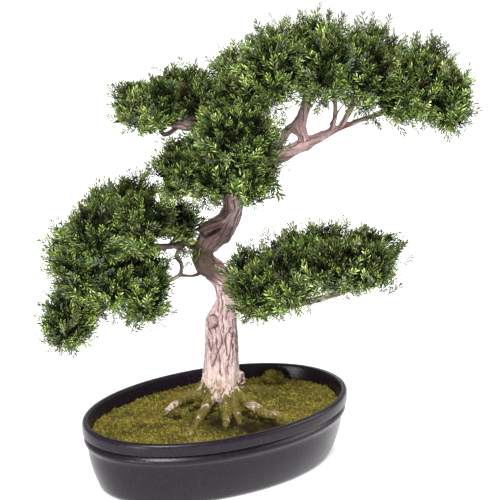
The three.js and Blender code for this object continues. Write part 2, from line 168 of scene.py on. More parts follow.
ROOTS = [
    [[0, 52, 80, 9], [-22, 48, 73, 8], [-38, 40, 70, 6], [-53, 15, 69, 5], [-70, -5, 62, 3]],
    [[2, 46, 80, 9], [-9, 22, 74, 7.5], [-15, 0, 70.5, 5.8], [-22, -30, 69, 4.5], [-31, -60, 62, 3]],
    [[6, 44, 80, 9], [8, 20, 74, 8], [11, -12, 69, 6], [9, -44, 62, 3]],
    [[13, 46, 80, 9], [20, 16, 71, 7], [27, -22, 62, 3.5]],
    [
        [15, 50, 80, 9], [31, 30, 72, 7], [43, 9, 71.5, 6.5], [56, -8, 69.5, 5.5], [74, -16, 69, 4.5],
        [90, -24, 62, 3],
    ],
    [[14, 58, 80, 9], [36, 64, 71, 6.5], [58, 68, 68, 5], [80, 66, 62, 3]],
    [[0, 62, 80, 9], [-14, 68, 70, 6], [-30, 74, 62, 3.5]],
]
# Bare tops of the roots, free of moss: [across, deep, radius]
BARE_ROOTS = [
    [-55, 9, 8], [-50, 18, 6], [-16, 2, 5], [-31, -58, 5], [42, 5, 9], [51, 5, 9], [58, -4, 7],
    [68, -13, 7],
]

# The cut branch collar: a short stump with a raised rim, from its start to its end, and its radius
COLLAR = [[2, 48, 166], [-8, 35.5, 168], 6.5]
# Smaller stumps
STUMPS = [
    [[11, 50, 152], [20, 39.5, 153], 5.5], [[18, 54, 88], [29, 54, 96], 4.4],
    [[18, 53, 80], [31, 52.5, 89], 3.6],
]

# Bark furrows by kind of limb: how many round it, half width, depth, and fine ones the same way
BARK = {
    "trunk": [14, 1.1, 1.5, 34, 0.7, 0.4],
    "fold": [16, 0.8, 0.8, 26, 0.6, 0.3],
    "stump": [7, 0.8, 0.5, 12, 0.7, 0.2],
    "limb": [7, 0.9, 0.6, 13, 0.7, 0.25],
    "root": [6, 1.0, 0.8, 14, 0.8, 0.35],
}
# The twisted bark above the elbow: how many round it, half width, depth
TWISTED_BARK = [24, 0.85, 0.8]
TWIST = 0.013
# Where the trunk's straight part ends, where the elbow starts, and how fine the skins are
TRUNK_TOP = 190.0
ELBOW_FOOT = 212.0
TRUNK_VOXEL = 0.95
LIMB_VOXEL = 1.2

# Furrows that stand out on the front of the trunk, as [across, up] seen at this depth and at this slope
FRONT_DEPTH = 36.0
FRONT_SLOPE = 0.315
FRONT_FURROWS = [
    [[2, 201], [0, 192], [0, 180]],
    [[6, 203], [7, 192], [6, 180], [6, 171], [8, 160], [8, 154]],
    [[15, 186], [13, 179], [11, 171]],
    [[0, 161], [4, 155], [5, 147], [6, 139]],
    [[-12, 168], [-12, 160], [-8, 153], [-7, 147], [-7, 139]],
    [[-3, 159], [-2, 152], [-2, 139]],
    [[17, 161], [11, 151], [10, 139]],
    [[23, 170], [19, 170], [19, 159], [18, 147], [16, 139]],
    [[23, 170], [24, 157], [23, 147], [22, 139]],
    [[-12, 145], [-11, 136], [-9, 130], [-10, 121], [-9, 111]],
    [[-7, 145], [-8, 136], [-9, 130]],
    [[-1, 145], [-1, 136], [0, 130], [-2, 122], [-4, 116], [-7, 112]],
    [[6, 142], [3, 136], [1, 130], [2, 124], [3, 114], [3, 104], [5, 100]],
    [[10, 145], [11, 136], [12, 125]],
    [[18, 145], [16, 133], [14, 124], [13, 115], [13, 107], [14, 101]],
    [[22, 145], [23, 131], [24, 119], [25, 112]],
    [[19, 140], [19, 126], [18, 116]],
    [[17, 321], [14, 317], [13.5, 311], [16, 304], [19, 309], [20, 315], [17, 321]],
]
# Deep seams, whose colour is painted near black as shade: points, half width, depth
SEAMS = [
    [
        [[-22, 34, 277], [-14, 29, 275], [-5, 28, 279], [4, 31, 283.5], [12, 38, 287], [17, 44, 291]],
        2.8, 4.2,
    ],
    [[[31, 50, 99], [30.5, 49.6, 93], [28.5, 49.8, 87]], 2.6, 2.6],
]
# Most dark streaks are painted shade on the elbow's left side, under the fold and on the neck's left; a few
# are darker bark, such as a thin limb on the left.
# Dark streaks: points, half width, strength. Rust-brown ones: points and half width
DARK_STREAKS = [
    [[[-25, 36, 286], [-24, 34, 270], [-25, 33, 252], [-20, 31, 240], [-8, 32, 232]], 11.0, 0.88],
    [[[-10, 29, 286], [-18, 30, 272], [-20, 28, 256]], 21.0, 0.84],
    [[[-23, 27, 252], [-18, 26, 242], [-14, 28, 232]], 27.0, 1.0],
    [[[-8, 27, 267], [2, 29, 271], [9, 34, 277]], 15.0, 0.84],
    [[[6, 52, 330], [7, 50, 318], [7, 47, 306], [2, 40, 298]], 10.0, 0.8],
    [[[-24, 33, 281], [-15, 28, 281], [-6, 28, 283]], 8.0, 0.9],
    [[[-14, 41, 231], [-42, 34, 226]], 6.0, 0.8],
    [[[-13, 34, 86], [-14, 31, 76], [-13, 26, 68]], 5.0, 0.8],
    [[[4, 30, 76], [6, 24, 72], [7, 16, 70]], 5.0, 0.8],
    [[[-22, 40, 256], [-46, 33, 266], [-60, 30, 264]], 7.0, 0.7],
]
RUST_STREAKS = [
    [[[-10, 28, 290], [-1, 29, 293], [8, 36, 297]], 8.0],
    [[[2, 30, 92], [3, 30, 78]], 8.0],
    [[[-9, 30, 258], [-4, 31, 246], [0, 36, 238]], 7.0],
]

# Foliage. Each cloud: name, limbs that it hangs on, how deep it is, its reach either way, rows and lobes.
# A lobe is [across, up, half width, half height]
CLOUDS = [
    ["crown", ["crown", "crown_left", "crown_right", "crown_far"], 70, 42, 2,
     [[28, 448, 38, 36], [69, 470, 45, 45], [121, 473, 46, 49], [172, 467, 45, 47]]],
    ["right", ["right"], 88, 36, 2,
     [[207, 443, 38, 44], [238, 444, 38, 46], [263, 432, 32, 42]]],
    ["upper_left", ["upper_left"], 80, 34, 2,
     [[-90, 417, 34, 27], [-58, 424, 36, 34], [-24, 426, 36, 36]]],
    ["middle", ["middle", "upper_left"], 8, 38, 2,
     [[20, 406, 52, 40], [-38, 364, 38, 31], [-2, 362, 40, 34], [38, 358, 36, 32]]],
    ["left", ["left", "left_drop"], 25, 40, 2,
     [[-90, 304, 42, 40], [-130, 291, 42, 41], [-157, 249, 42, 40], [-112, 236, 40, 39], [-85, 219, 36, 39],
      [-167, 188, 36, 40]]],
    ["inner", ["left"], 42, 34, 1, [[-44, 290, 30, 30]]],
    ["low_right", ["low_right"], -7, 38, 2,
     [[46, 232, 37, 36], [88, 249, 44, 41], [132, 262, 44, 36], [171, 262, 41, 30]]],
]
ROW_DEPTH = 0.88
ROW_SHIFT = 0.12
# Tufts whose middles are further apart than this can't cross
CROSSING_GAP = 110.0
SPRIGS = 20500
SPRIG_LENGTH = 23.0
# Shares of a tuft's radii: how far a sprig keeps out of the others, where the edge's dull ones start, and past
# which sprigs are darker as painted shade against the light
KEPT_OUT = 0.72
EDGE = 1.03
FAR_OUT = 1.08
# Of the sprigs at a tuft's underside, the share that is left out
UNDERSIDE_SPARED = 0.25
# At most this many tries for each sprig
TRIES = 40
FINGER_WIDTH = 1.55
TEMPLATES = 20
HEART_SHARE = 0.46
TWIGS_PER_TUFT = 8
# Where rusty sprigs show: [across, up, radius]
RUSTY_PLACES = [[193, 488, 24], [-32, 448, 24], [-89, 332, 20], [60, 508, 16], [262, 470, 16]]
RUSTY_SHARES = [0.015, 0.14]
BLUISH_SHARE = 0.12
# The lone sprigs' dull colour, between bluish at 1 and rusty at 2, partly painted shade of sprigs seen against
# the light
LONE_HUE = 1.58
# Loose sprigs at the clouds' edges: their tuft, from, to, how many and which way they point
LOOSE = [
    ["inner_1", [-43, 31, 266], [-20, 30, 262], 24, [-0.1, -0.7, -0.1]],
    ["inner_1", [-42, 25, 262], [-30, 25, 246], 9, [-0.1, -0.4, -0.5]],
    ["middle_1_back", [56, 36, 420], [82, 44, 402], 16, [0.2, -0.2, -0.3]],
    ["crown_2_front", [108, 44, 436], [126, 48, 432], 8, [0, 0, -1]],
    ["crown_4_front", [158, 55, 422], [178, 62, 425], 10, [0, 0, -0.8]],
    ["right_1_front", [176, 66, 410], [222, 70, 404], 14, [0, 0, -0.8]],
    ["middle_3_front", [-28, 10, 328], [-4, 18, 320], 12, [0.2, 0, -0.8]],
    ["left_1_back", [-62, 28, 258], [-50, 28, 236], 10, [0.2, -0.2, 0]],
    ["right_2_back", [246, 88, 484], [266, 90, 474], 8, [0.3, 0, 1]],
    ["crown_3_back", [126, 76, 512], [150, 78, 512], 8, [0, 0, 1]],
    ["left_6_front", [-190, -2, 164], [-150, 0, 162], 14, [-0.2, 0, -0.9]],
    ["left_5_front", [-126, 15, 192], [-98, 0, 190], 12, [0, 0, -0.9]],
    ["low_right_1_front", [34, -20, 204], [54, -22, 206], 8, [0, 0, -0.9]],
]
# Lone sprigs that stand out of a cloud's edge: how deep the cloud is, and each one's start and end as
# [across, up, across, up]
SPIKES = {
    "crown": [60, [
        [65, 510, 63, 525], [83, 513, 80, 531], [95, 513, 95, 533], [125, 517, 130, 535],
        [36, 494, 34, 508], [11, 469, -1, 483], [27, 487, 23, 499],
    ]],
    "right": [86, [
        [206, 488, 204, 514], [219, 488, 214, 505], [232, 484, 230, 503], [250, 484, 247, 504],
        [266, 476, 265, 497], [286, 444, 295, 472], [284, 428, 296, 439], [273, 401, 284, 392],
        [259, 399, 267, 381], [251, 399, 254, 381], [207, 399, 221, 377], [180, 401, 192, 386],
    ]],
    "upper_left": [75, [
        [-27, 451, -26, 478], [-48, 454, -48, 475], [-73, 447, -73, 460], [-119, 435, -126, 447],
        [-107, 440, -110, 451], [-57, 454, -58, 465],
    ]],
    "left": [22, [
        [-98, 344, -102, 361], [-138, 330, -142, 343], [-161, 299, -165, 312], [-192, 275, -201, 282],
        [-201, 195, -213, 199], [-194, 207, -205, 211], [-182, 143, -183, 128], [-172, 143, -174, 129],
        [-94, 178, -90, 160], [-101, 178, -104, 163], [-140, 173, -137, 160], [-86, 354, -82, 344],
    ]],
    "low_right": [-7, [
        [59, 284, 57, 301], [77, 282, 77, 300], [88, 287, 88, 306], [111, 287, 111, 301],
        [27, 253, 23, 279], [38, 263, 37, 277], [37, 195, 28, 178], [73, 198, 78, 181],
        [86, 200, 83, 185], [102, 213, 115, 202], [146, 294, 146, 310],
    ]],
    "middle": [8, [[61, 351, 71, 322], [57, 355, 78, 340], [63, 348, 77, 321]]],
}
# How far a lone sprig starts inside its cloud
SPIKE_ROOT = 6.0
# Where the sprigs leave the trunk and the gaps free, as seen: [across, up, radius, how deep at most]
CLEAR = [
    [17, 313, 12, 50], [-66, 336, 10, 50], [-114, 402, 11, 200], [-94, 400, 9, 200], [183, 432, 8, 200],
    [-121, 348, 9, 200], [-68, 320, 8, 200], [-71, 302, 7, 200], [-62, 267, 9, 30], [-53, 268, 8, 30],
    [-50, 198, 9, 60], [-89, 239, 6, 60], [-101, 209, 6, 60], [-43, 405, 10, 84], [-58, 397, 9, 84],
    [-28, 411, 9, 84], [17, 254, 7, 200], [165, 291, 7, 200], [180, 287, 8, 200], [193, 282, 8, 200],
]
# Thin green stems that hang by the trunk's elbow: [across, deep, up, radius]
GREEN_STEMS = [
    [[-32, 24, 270, 0.8], [-30, 22, 254, 0.8], [-24, 23, 238, 0.6]],
    [[-19, 25, 262, 0.8], [-22, 22, 251, 0.8], [-27, 22, 245, 0.6]],
]
# Bare stems that show among the leaves, the same way
BARE_STEMS = [
    [[-66, 22, 300, 1.1], [-64, 20, 321, 0.9], [-68, 20, 336, 0.6]],
    [[-64, 20, 320, 0.9], [-57, 20, 333, 0.6]],
    [[-63, 20, 313, 0.9], [-74, 20, 325, 0.6]],
    [[128, 4, 414, 1.0], [137, -4, 431, 0.9], [143, -9, 442, 0.6]],
    [[145, -6, 432, 0.9], [153, -10, 440, 0.7], [152, -12, 449, 0.5]],
]

# Soft lights, in metres: where, towards what, how wide and how strong. The gleam lights the pot's back wall
LIGHTS = {
    "key": [(-1.3, -1.6, 2.2), (0.04, 0.0, 0.27), 0.9, 115],
    "fill": [(1.9, -1.0, 1.2), (0.04, 0.0, 0.27), 1.2, 24],
    "back": [(0.6, 1.8, 1.8), (0.04, 0.0, 0.27), 1.0, 30],
    "gleam": [(-1.62, -0.88, 0.27), (0.14, 0.05, 0.075), 0.22, 12],
}
# The camera looks square on to the tree's spread, from this angle above the level and this many metres away
CAMERA_TARGET = [38.45, 14.8, 263]
CAMERA_TILT = math.radians(17.5)
CAMERA_DISTANCE = 2.4
CAMERA_LENS = 150.3
# The floor lies just under the foot, so that the two don't flicker
FLOOR_HEIGHT = -0.3
FLOOR_REACH = 6000.0


# Shapes in plain arrays


def turned(points, turn):
    """Points turned about the upright axis."""
    c, s = math.cos(turn), math.sin(turn)
    x, y, z = np.moveaxis(np.asarray(points, float), -1, 0)
    return np.stack([x * c - y * s, x * s + y * c, z], -1)


def tree_to_pot(points):
    """Points given as across, deep, up, in the pot's own axes."""
    return turned(points, TREE_TURN)


def pot_to_tree(points):
    """The way back."""
    return turned(points, -TREE_TURN)


def flat(points):
    """Points brought down to height 0."""
    return np.column_stack([points[:, :2], np.zeros(len(points))])


def smoothstep(low, high, x):
    t = np.clip((x - low) / (high - low), 0, 1)
    return t * t * (3 - 2 * t)


def unit(v):
    return v / np.maximum(np.linalg.norm(v, axis=-1, keepdims=True), 1e-9)


def wobble(points, wavelength, seed, terms=7):
    """Slow seeded noise from about -1 to 1, with that wavelength."""
    rng = np.random.default_rng(seed)
    ways = unit(rng.normal(size=(terms, 3))) * (2 * math.pi / wavelength)
    ways *= rng.uniform(0.6, 1.6, (terms, 1))
    phases = rng.uniform(0, 2 * math.pi, terms)
    return np.sin(points @ ways.T + phases).sum(-1) / math.sqrt(terms) / 1.2


def blend(t, start, end, first, last):
    """From first where t is at start to last where it is at end."""
    return ((end - t) * first + (t - start) * last) / (end - start)


def centre_line(stations, step):
    """Points and radii along a smooth line through the stations."""
    stations = np.asarray(stations, float)
    p, r = stations[:, :3], stations[:, 3]
    p = np.vstack([2 * p[0] - p[1], p, 2 * p[-1] - p[-2]])
    r = np.concatenate([[r[0]], r, [r[-1]]])
    line, radii = [], []
    for i in range(len(stations) - 1):
        q = p[i : i + 4]
        knots = np.concatenate([[0], np.cumsum(np.linalg.norm(np.diff(q, axis=0), axis=1) ** 0.5)])
        count = max(2, int(np.linalg.norm(q[2] - q[1]) / step) + 1)
        share = np.arange(count) / count
        t = (knots[1] + share * (knots[2] - knots[1]))[:, None]
        a = [blend(t, knots[k], knots[k + 1], q[k], q[k + 1]) for k in range(3)]
        b = [blend(t, knots[k], knots[k + 2], a[k], a[k + 1]) for k in range(2)]
        line.append(blend(t, knots[1], knots[2], *b))
        w = r[i : i + 4]
        once, twice = w[2] - w[0], 2 * w[0] - 5 * w[1] + 4 * w[2] - w[3]
        thrice = 3 * w[1] - w[0] - 3 * w[2] + w[3]
        radii.append(0.5 * (2 * w[1] + once * share + twice * share**2 + thrice * share**3))
    line.append(p[-2:-1])
    radii.append(r[-1:])
    return np.vstack(line), np.concatenate(radii)


def limb_rings(name, stations, step=1.5):
    """A limb as rings: its middles, radii, distances along and cross directions."""
    line, radii = centre_line(stations, step)
    tangents = unit(np.gradient(line, axis=0))
    along = np.concatenate([[0], np.cumsum(np.linalg.norm(np.diff(line, axis=0), axis=1))])
    side = np.empty_like(line)
    start = np.array([1.0, 0, 0]) if abs(tangents[0][0]) < 0.8 else np.array([0, 1.0, 0])
    for i, tangent in enumerate(tangents):
        start = start - tangent * start.dot(tangent)
        start = start / np.linalg.norm(start)
        side[i] = start
    return {
        "name": name, "line": line, "radii": radii, "along": along, "side": side,
        "other": np.cross(tangents, side), "tangents": tangents,
    }


def ring_faces(count, sides):
    """Triangles over a stack of rings and its two ends, whose middle points follow the rings' own."""
    ring, k = np.meshgrid(np.arange(count - 1), np.arange(sides), indexing="ij")
    a, b = ring * sides + k, ring * sides + (k + 1) % sides
    c, d = a + sides, b + sides
    k = np.arange(sides)
    n, last, end = (k + 1) % sides, (count - 1) * sides, count * sides
    return np.vstack([
        np.stack([a, b, d], -1).reshape(-1, 3),
        np.stack([a, d, c], -1).reshape(-1, 3),
        np.stack([n, k, np.full(sides, end)], -1),
        np.stack([last + k, last + n, np.full(sides, end + 1)], -1),
    ])


def tube(rings, sides):
    """A closed tube round a limb's rings, as points and triangles."""
    angles = np.arange(sides) * 2 * math.pi / sides
    across = (
        rings["side"][:, None] * np.cos(angles)[None, :, None]
        + rings["other"][:, None] * np.sin(angles)[None, :, None]
    )
    body = rings["line"][:, None] + across * rings["radii"][:, None, None]
    ends = [
        rings["line"][0] - rings["tangents"][0] * rings["radii"][0] * 0.5,
        rings["line"][-1] + rings["tangents"][-1] * rings["radii"][-1] * 0.8,
    ]
    return np.vstack([body.reshape(-1, 3), ends]), ring_faces(len(rings["line"]), sides)


def ball(subdivisions):
    """Points and triangles of a ball of radius 1."""
    bm = bmesh.new()
    bmesh.ops.create_icosphere(bm, subdivisions=subdivisions, radius=1.0)
    points = np.array([v.co for v in bm.verts], float)
    faces = np.array([[v.index for v in f.verts] for f in bm.faces])
    bm.free()
    return points, faces


def joined(parts):
    """Several (points, faces) as one."""
    points, faces, start = [], [], 0
    for p, f in parts:
        points.append(p)
        faces.append(f + start)
        start += len(p)
    return np.vstack(points), np.vstack(faces)


def mesh_object(name, points, faces, smooth=True, **attributes):
    """An object from millimetre points, triangles or quads, and values by point."""
    mesh = bpy.data.meshes.new(name)
    mesh.vertices.add(len(points))
    mesh.vertices.foreach_set("co", (np.asarray(points) * MM).astype(np.float32).ravel())
    mesh.loops.add(faces.size)
    mesh.loops.foreach_set("vertex_index", faces.astype(np.int32).ravel())
    mesh.polygons.add(len(faces))
    mesh.polygons.foreach_set("loop_start", np.arange(0, faces.size, faces.shape[1], dtype=np.int32))
    mesh.polygons.foreach_set("use_smooth", np.full(len(faces), smooth))
    mesh.update(calc_edges=True)
    for key, values in attributes.items():
        kind = "FLOAT" if values.ndim == 1 else "FLOAT_VECTOR"
        field = "value" if values.ndim == 1 else "vector"
        attribute = mesh.attributes.new(key, kind, "POINT")
        attribute.data.foreach_set(field, values.astype(np.float32).ravel())
    obj = bpy.data.objects.new(name, mesh)
    bpy.context.scene.collection.objects.link(obj)
    return obj


class Heap:
    """Parts gathered into one mesh, with values for their points."""

    def __init__(self):
        self.parts = []
        self.values = {}

    def add(self, points, faces, **values):
        """A part, with one value for all its points or one for each."""
        self.parts.append((points, faces))
        for key, value in values.items():
            self.values.setdefault(key, []).append(np.broadcast_to(value, len(points)))

    def mesh(self, name, place=np.asarray, smooth=True):
        """The object, with place to bring its points into the pot's axes."""
        points, faces = joined(self.parts)
        values = {key: np.concatenate(lists) for key, lists in self.values.items()}
        return mesh_object(name, place(points), faces, smooth, **values)


def dress(obj, material, node):
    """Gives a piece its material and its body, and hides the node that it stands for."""
    obj.data.materials.append(material)
    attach(obj, BODY)
    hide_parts(node)


def voxel_union(points, faces, voxel):
    """Closed bodies that cross, as one skin of even quads. Returns points, faces and edges."""
    obj = mesh_object("union", points, faces)
    modifier = obj.modifiers.new("union", "REMESH")
    modifier.mode = "VOXEL"
    modifier.voxel_size = voxel * MM
    depsgraph = bpy.context.evaluated_depsgraph_get()
    mesh = bpy.data.meshes.new_from_object(obj.evaluated_get(depsgraph))
    out = np.empty(len(mesh.vertices) * 3, np.float32)
    mesh.vertices.foreach_get("co", out)
    quads = np.empty(len(mesh.loops), np.int32)
    mesh.loops.foreach_get("vertex_index", quads)
    edges = np.empty(len(mesh.edges) * 2, np.int32)
    mesh.edges.foreach_get("vertices", edges)
    if len(quads) != 4 * len(mesh.polygons):
        raise RuntimeError("the remesh gave faces that aren't quads")
    bpy.data.objects.remove(obj)
    bpy.data.meshes.remove(mesh)
    return out.reshape(-1, 3).astype(float) / MM, quads.reshape(-1, 4), edges.reshape(-1, 2)


def smoothed(values, edges, weight, rounds):
    """Values drawn towards the mean of their neighbours."""
    count = len(values)
    degree = np.bincount(edges.ravel(), minlength=count).astype(float)
    for _ in range(rounds):
        total = np.empty_like(values)
        for k in range(values.shape[1]):
            total[:, k] = np.bincount(edges[:, 0], values[edges[:, 1], k], count)
            total[:, k] += np.bincount(edges[:, 1], values[edges[:, 0], k], count)
        values = values + (total / degree[:, None] - values) * weight[:, None]
    return values


def quad_normals(points, quads):
    """Outward normal at each point of a quad mesh."""
    a, b, c, d = (points[quads[:, k]] for k in range(4))
    face = np.cross(c - a, d - b)
    out = np.empty_like(points)
    for k in range(3):
        out[:, k] = sum(np.bincount(quads[:, j], face[:, k], len(points)) for j in range(4))
    return unit(out)


def near_line(points, line, half_width):
    """1 on a line of points, falling to 0 past half_width."""
    out = np.full(len(points), 1e9)
    for a, b in zip(line[:-1], line[1:]):
        a, b = np.asarray(a, float), np.asarray(b, float)
        t = np.clip((points - a) @ (b - a) / ((b - a) @ (b - a)), 0, 1)[:, None]
        out = np.minimum(out, np.linalg.norm(points - a - t * (b - a), axis=1))
    return 1 - smoothstep(0.25 * half_width, half_width, out)


# Wood


def nearest_ring(points, limbs):
    """For each point, the limb whose surface it lies on, and the ring there."""
    line = np.vstack([l["line"] for l in limbs])
    radii = np.concatenate([l["radii"] for l in limbs])
    owner = np.concatenate([np.full(len(l["line"]), i) for i, l in enumerate(limbs)])
    ring = np.concatenate([np.arange(len(l["line"])) for l in limbs])
    best = np.empty(len(points), int)
    for start in range(0, len(points), 4000):
        part = points[start : start + 4000]
        gap = np.sqrt(((part[:, None] - line[None]) ** 2).sum(-1)) - radii[None]
        best[start : start + 4000] = np.argmin(np.abs(gap), axis=1)
    return owner[best], ring[best]


def furrows(angle, along, radius, count, half_width, seed):
    """How near each point is to a furrow that wanders up a limb: 1 in one, 0 on the bark between."""
    rng = np.random.default_rng(seed)
    gap = 2 * math.pi / count
    best = np.zeros(len(angle))
    for k in range(count):
        line = np.full(len(angle), gap * (k + rng.uniform(-0.3, 0.3)))
        for wavelength, reach in [(96, 0.55), (43, 0.26), (17, 0.09), (8, 0.035)]:
            turns = along / (wavelength * rng.uniform(0.8, 1.25)) + rng.uniform()
            line += reach * gap * np.sin(2 * math.pi * turns)
        fade = smoothstep(-0.6, 0.3, np.sin(2 * math.pi * (along / rng.uniform(38, 70) + rng.uniform())))
        turn = np.mod(angle - line + math.pi, 2 * math.pi) - math.pi
        best = np.maximum(best, fade * np.exp(-((turn * radius / half_width) ** 2)))
    return best


def wood_limbs():
    """The tubes of the trunk with its roots and stumps, and those of the limbs."""
    trunk = [limb_rings("trunk", TRUNK), limb_rings("fold", FOLD)]
    trunk += [limb_rings("root", stations) for stations in ROOTS]
    for start, end, radius in [COLLAR, *STUMPS]:
        trunk.append(limb_rings("stump", [[*start, radius * 1.25], [*end, radius]], 0.8))
    return trunk, [limb_rings("limb", stations) for stations in LIMBS.values()]


def bark_of(limb, points, at, seed):
    """Furrow share, depth of the furrows and fibre coordinates at a limb's points."""
    offset = points - limb["line"][at]
    angle = np.arctan2((offset * limb["other"][at]).sum(1), (offset * limb["side"][at]).sum(1))
    along = limb["along"][at] + (offset * limb["tangents"][at]).sum(1)
    radius = limb["radii"][at]
    count, half_width, deep, fine_count, fine_width, shallow = BARK[limb["name"]]
    value = furrows(angle, along, radius, count, half_width, seed)
    fine = furrows(angle, along, radius, fine_count, fine_width, seed + 500)
    depth = deep * value + shallow * fine
    if limb["name"] == "trunk":
        top = smoothstep(TRUNK_TOP - 14, TRUNK_TOP + 12, points[:, 2])
        count, half_width, twisted_depth = TWISTED_BARK
        upper = furrows(angle + TWIST * along, along, radius, count, half_width, seed + 900)
        front = (1 - smoothstep(44, 52, points[:, 1])) * (1 - top)
        depth = depth * (1 - top) * (1 - 0.6 * front) + twisted_depth * upper * top
        value = value * (1 - top) * (1 - 0.65 * front) + 0.8 * upper * top
    bent = angle + 0.12 * np.sin(along / 13 + 2 * angle) + 0.05 * np.sin(along / 5 + 5 * angle)
    around = float(np.median(limb["radii"]))
    fibre = np.stack([around * np.cos(bent), around * np.sin(bent), along], -1)
    return np.clip(value + 0.5 * fine, 0, 1), depth * np.clip(radius / 6, 0.3, 1), fibre


def as_seen(points):
    """Points as across and up, brought to one depth along the slope of the view."""
    return np.stack([points[..., 0], points[..., 2] + (points[..., 1] - FRONT_DEPTH) * FRONT_SLOPE], -1)


def front_furrows(points):
    """The furrows drawn on the front of the trunk: their share and the wider dip along each."""
    bend = np.column_stack([wobble(points, 9.0, 12), wobble(points, 9.0, 13)])
    bend += 0.6 * np.column_stack([wobble(points, 4.0, 14), wobble(points, 4.0, 15)])
    wavy = as_seen(points) + 0.35 * bend
    strength = np.clip(0.9 + 0.3 * wobble(points, 12.0, 16), 0.6, 1)
    fine, broad = np.zeros(len(points)), np.zeros(len(points))
    for line in FRONT_FURROWS:
        fine = np.maximum(fine, near_line(wavy, line, 1.3))
        broad = np.maximum(broad, near_line(wavy, line, 4.5))
    front = 1 - smoothstep(50, 56, points[:, 1])
    return fine * front * strength, broad * front


def collar_relief(points):
    """The raised rim and dish of the cut collar, and the dark ring round it: a groove whose darkness is partly
    painted shade.
    """
    start, end, radius = np.asarray(COLLAR[0], float), np.asarray(COLLAR[1], float), COLLAR[2]
    axis = unit(end - start)
    offset = points - end
    height = offset @ axis
    out = np.linalg.norm(offset - height[:, None] * axis, axis=1)
    face = (np.abs(height) < 6) & (out < radius * 1.6)
    rim = np.exp(-(((out - 0.8 * radius) / 1.3) ** 2)) * face
    dish = (1 - smoothstep(0.3 * radius, 0.7 * radius, out)) * face
    ring = np.exp(-(((out - 1.22 * radius) / 0.9) ** 2)) * face
    return 0.7 * rim - 0.7 * dish - 0.8 * ring, ring, face & (out < 1.05 * radius)


def of_kind(limbs, owner, *names):
    """Whether each point's limb has one of the names."""
    return np.isin(owner, [i for i, limb in enumerate(limbs) if limb["name"] in names])


def seams(points):
    """How near each point is to a deep seam, for the painted shade down it, and how far the seams cut in
    there.
    """
    share, cut = np.zeros(len(points)), np.zeros(len(points))
    for line, half_width, deep in SEAMS:
        near = near_line(points, line, half_width)
        share = np.maximum(share, near)
        cut += deep * near
    return share, cut


def streaks(points):
    """How much painted shade, with some darker bark, and how much rust each point has."""
    shade, rust = np.zeros(len(points)), np.zeros(len(points))
    for line, half_width, strength in DARK_STREAKS:
        shade = np.maximum(shade, strength * np.sin(0.5 * np.pi * near_line(points, line, half_width)))
    for line, half_width in RUST_STREAKS:
        rust = np.maximum(rust, near_line(points, line, half_width))
    return shade, rust


def wood_skin(limbs, voxel):
    """The tubes as one skin, smoothed where it is thick: points, quads and the limb's radius at each point."""
    points, faces = joined([tube(limb, 28 if limb["name"] == "trunk" else 16) for limb in limbs])
    points, quads, edges = voxel_union(points, faces, voxel)
    owner, ring = nearest_ring(points, limbs)
    radii = np.array([limbs[o]["radii"][r] for o, r in zip(owner, ring)])
    return smoothed(points, edges, 0.5 * smoothstep(1.4, 5.0, radii), 7), quads, radii


def bark_relief(points, limbs, owner, ring, seed):
    """Furrow share, fibre coordinates, the collar's cut face, and how far the bark stands out."""
    count = len(points)
    furrow, fibre, depth = np.zeros(count), np.zeros((count, 3)), np.zeros(count)
    for i, limb in enumerate(limbs):
        own = np.flatnonzero(owner == i)
        if len(own):
            furrow[own], depth[own], fibre[own] = bark_of(limb, points[own], ring[own], seed + i)
    across, _, up = points.T
    low = of_kind(limbs, owner, "trunk", "stump") & (up < ELBOW_FOOT) & (across > -25) & (across < 32)
    drawn, dip = np.zeros(count), np.zeros(count)
    drawn[low], dip[low] = front_furrows(points[low])
    relief, ring_share, face = collar_relief(points)
    furrow = np.where(face, 0.15 * furrow, furrow)
    depth = np.where(face, 0.2 * depth, depth)
    furrow = np.clip(np.maximum(furrow, drawn) + ring_share, 0, 1)
    return furrow, fibre, face, relief - depth - 1.5 * drawn - 0.7 * dip


def build_wood(name, limbs, voxel, seed, material):
    """Trunk or limbs with furrowed bark. Returns the mossy points and their outward directions."""
    points, quads, radii = wood_skin(limbs, voxel)
    owner, ring = nearest_ring(points, limbs)
    furrow, fibre, face, push = bark_relief(points, limbs, owner, ring, seed)
    normals = quad_normals(points, quads)
    seam, cut = seams(points)
    shade, rust = streaks(points)
    # Roots and the collar's cut face are darker bark of their own, carried in the same shade value.
    shade = np.maximum(shade, np.maximum(0.25 * of_kind(limbs, owner, "root"), 0.4 * face))
    swell = 0.9 * wobble(points * [1, 1, 0.3], 15.0, 5) + 0.5 * wobble(points * [1, 1, 0.35], 7.0, 6)
    points = points + normals * (push - cut + np.clip(radii / 12, 0.1, 1) * swell)[:, None]

    moss = moss_on_wood(points, furrow, normals)
    wood = mesh_object(
        name, tree_to_pot(points), quads,
        furrow=furrow, fibre=fibre, seam=seam, shade=shade, rust=rust, moss=moss,
    )
    dress(wood, material, "wood")
    mossy = np.flatnonzero((moss > 0.6) & (points[:, 2] < MOSS_TOP) & (points[:, 2] > MOSS_EDGE + 1))
    rng = np.random.default_rng(SEED + 5)
    mossy = rng.choice(mossy, min(ROOT_BLADES, len(mossy)), replace=False)
    return tree_to_pot(points[mossy]), tree_to_pot(normals[mossy])


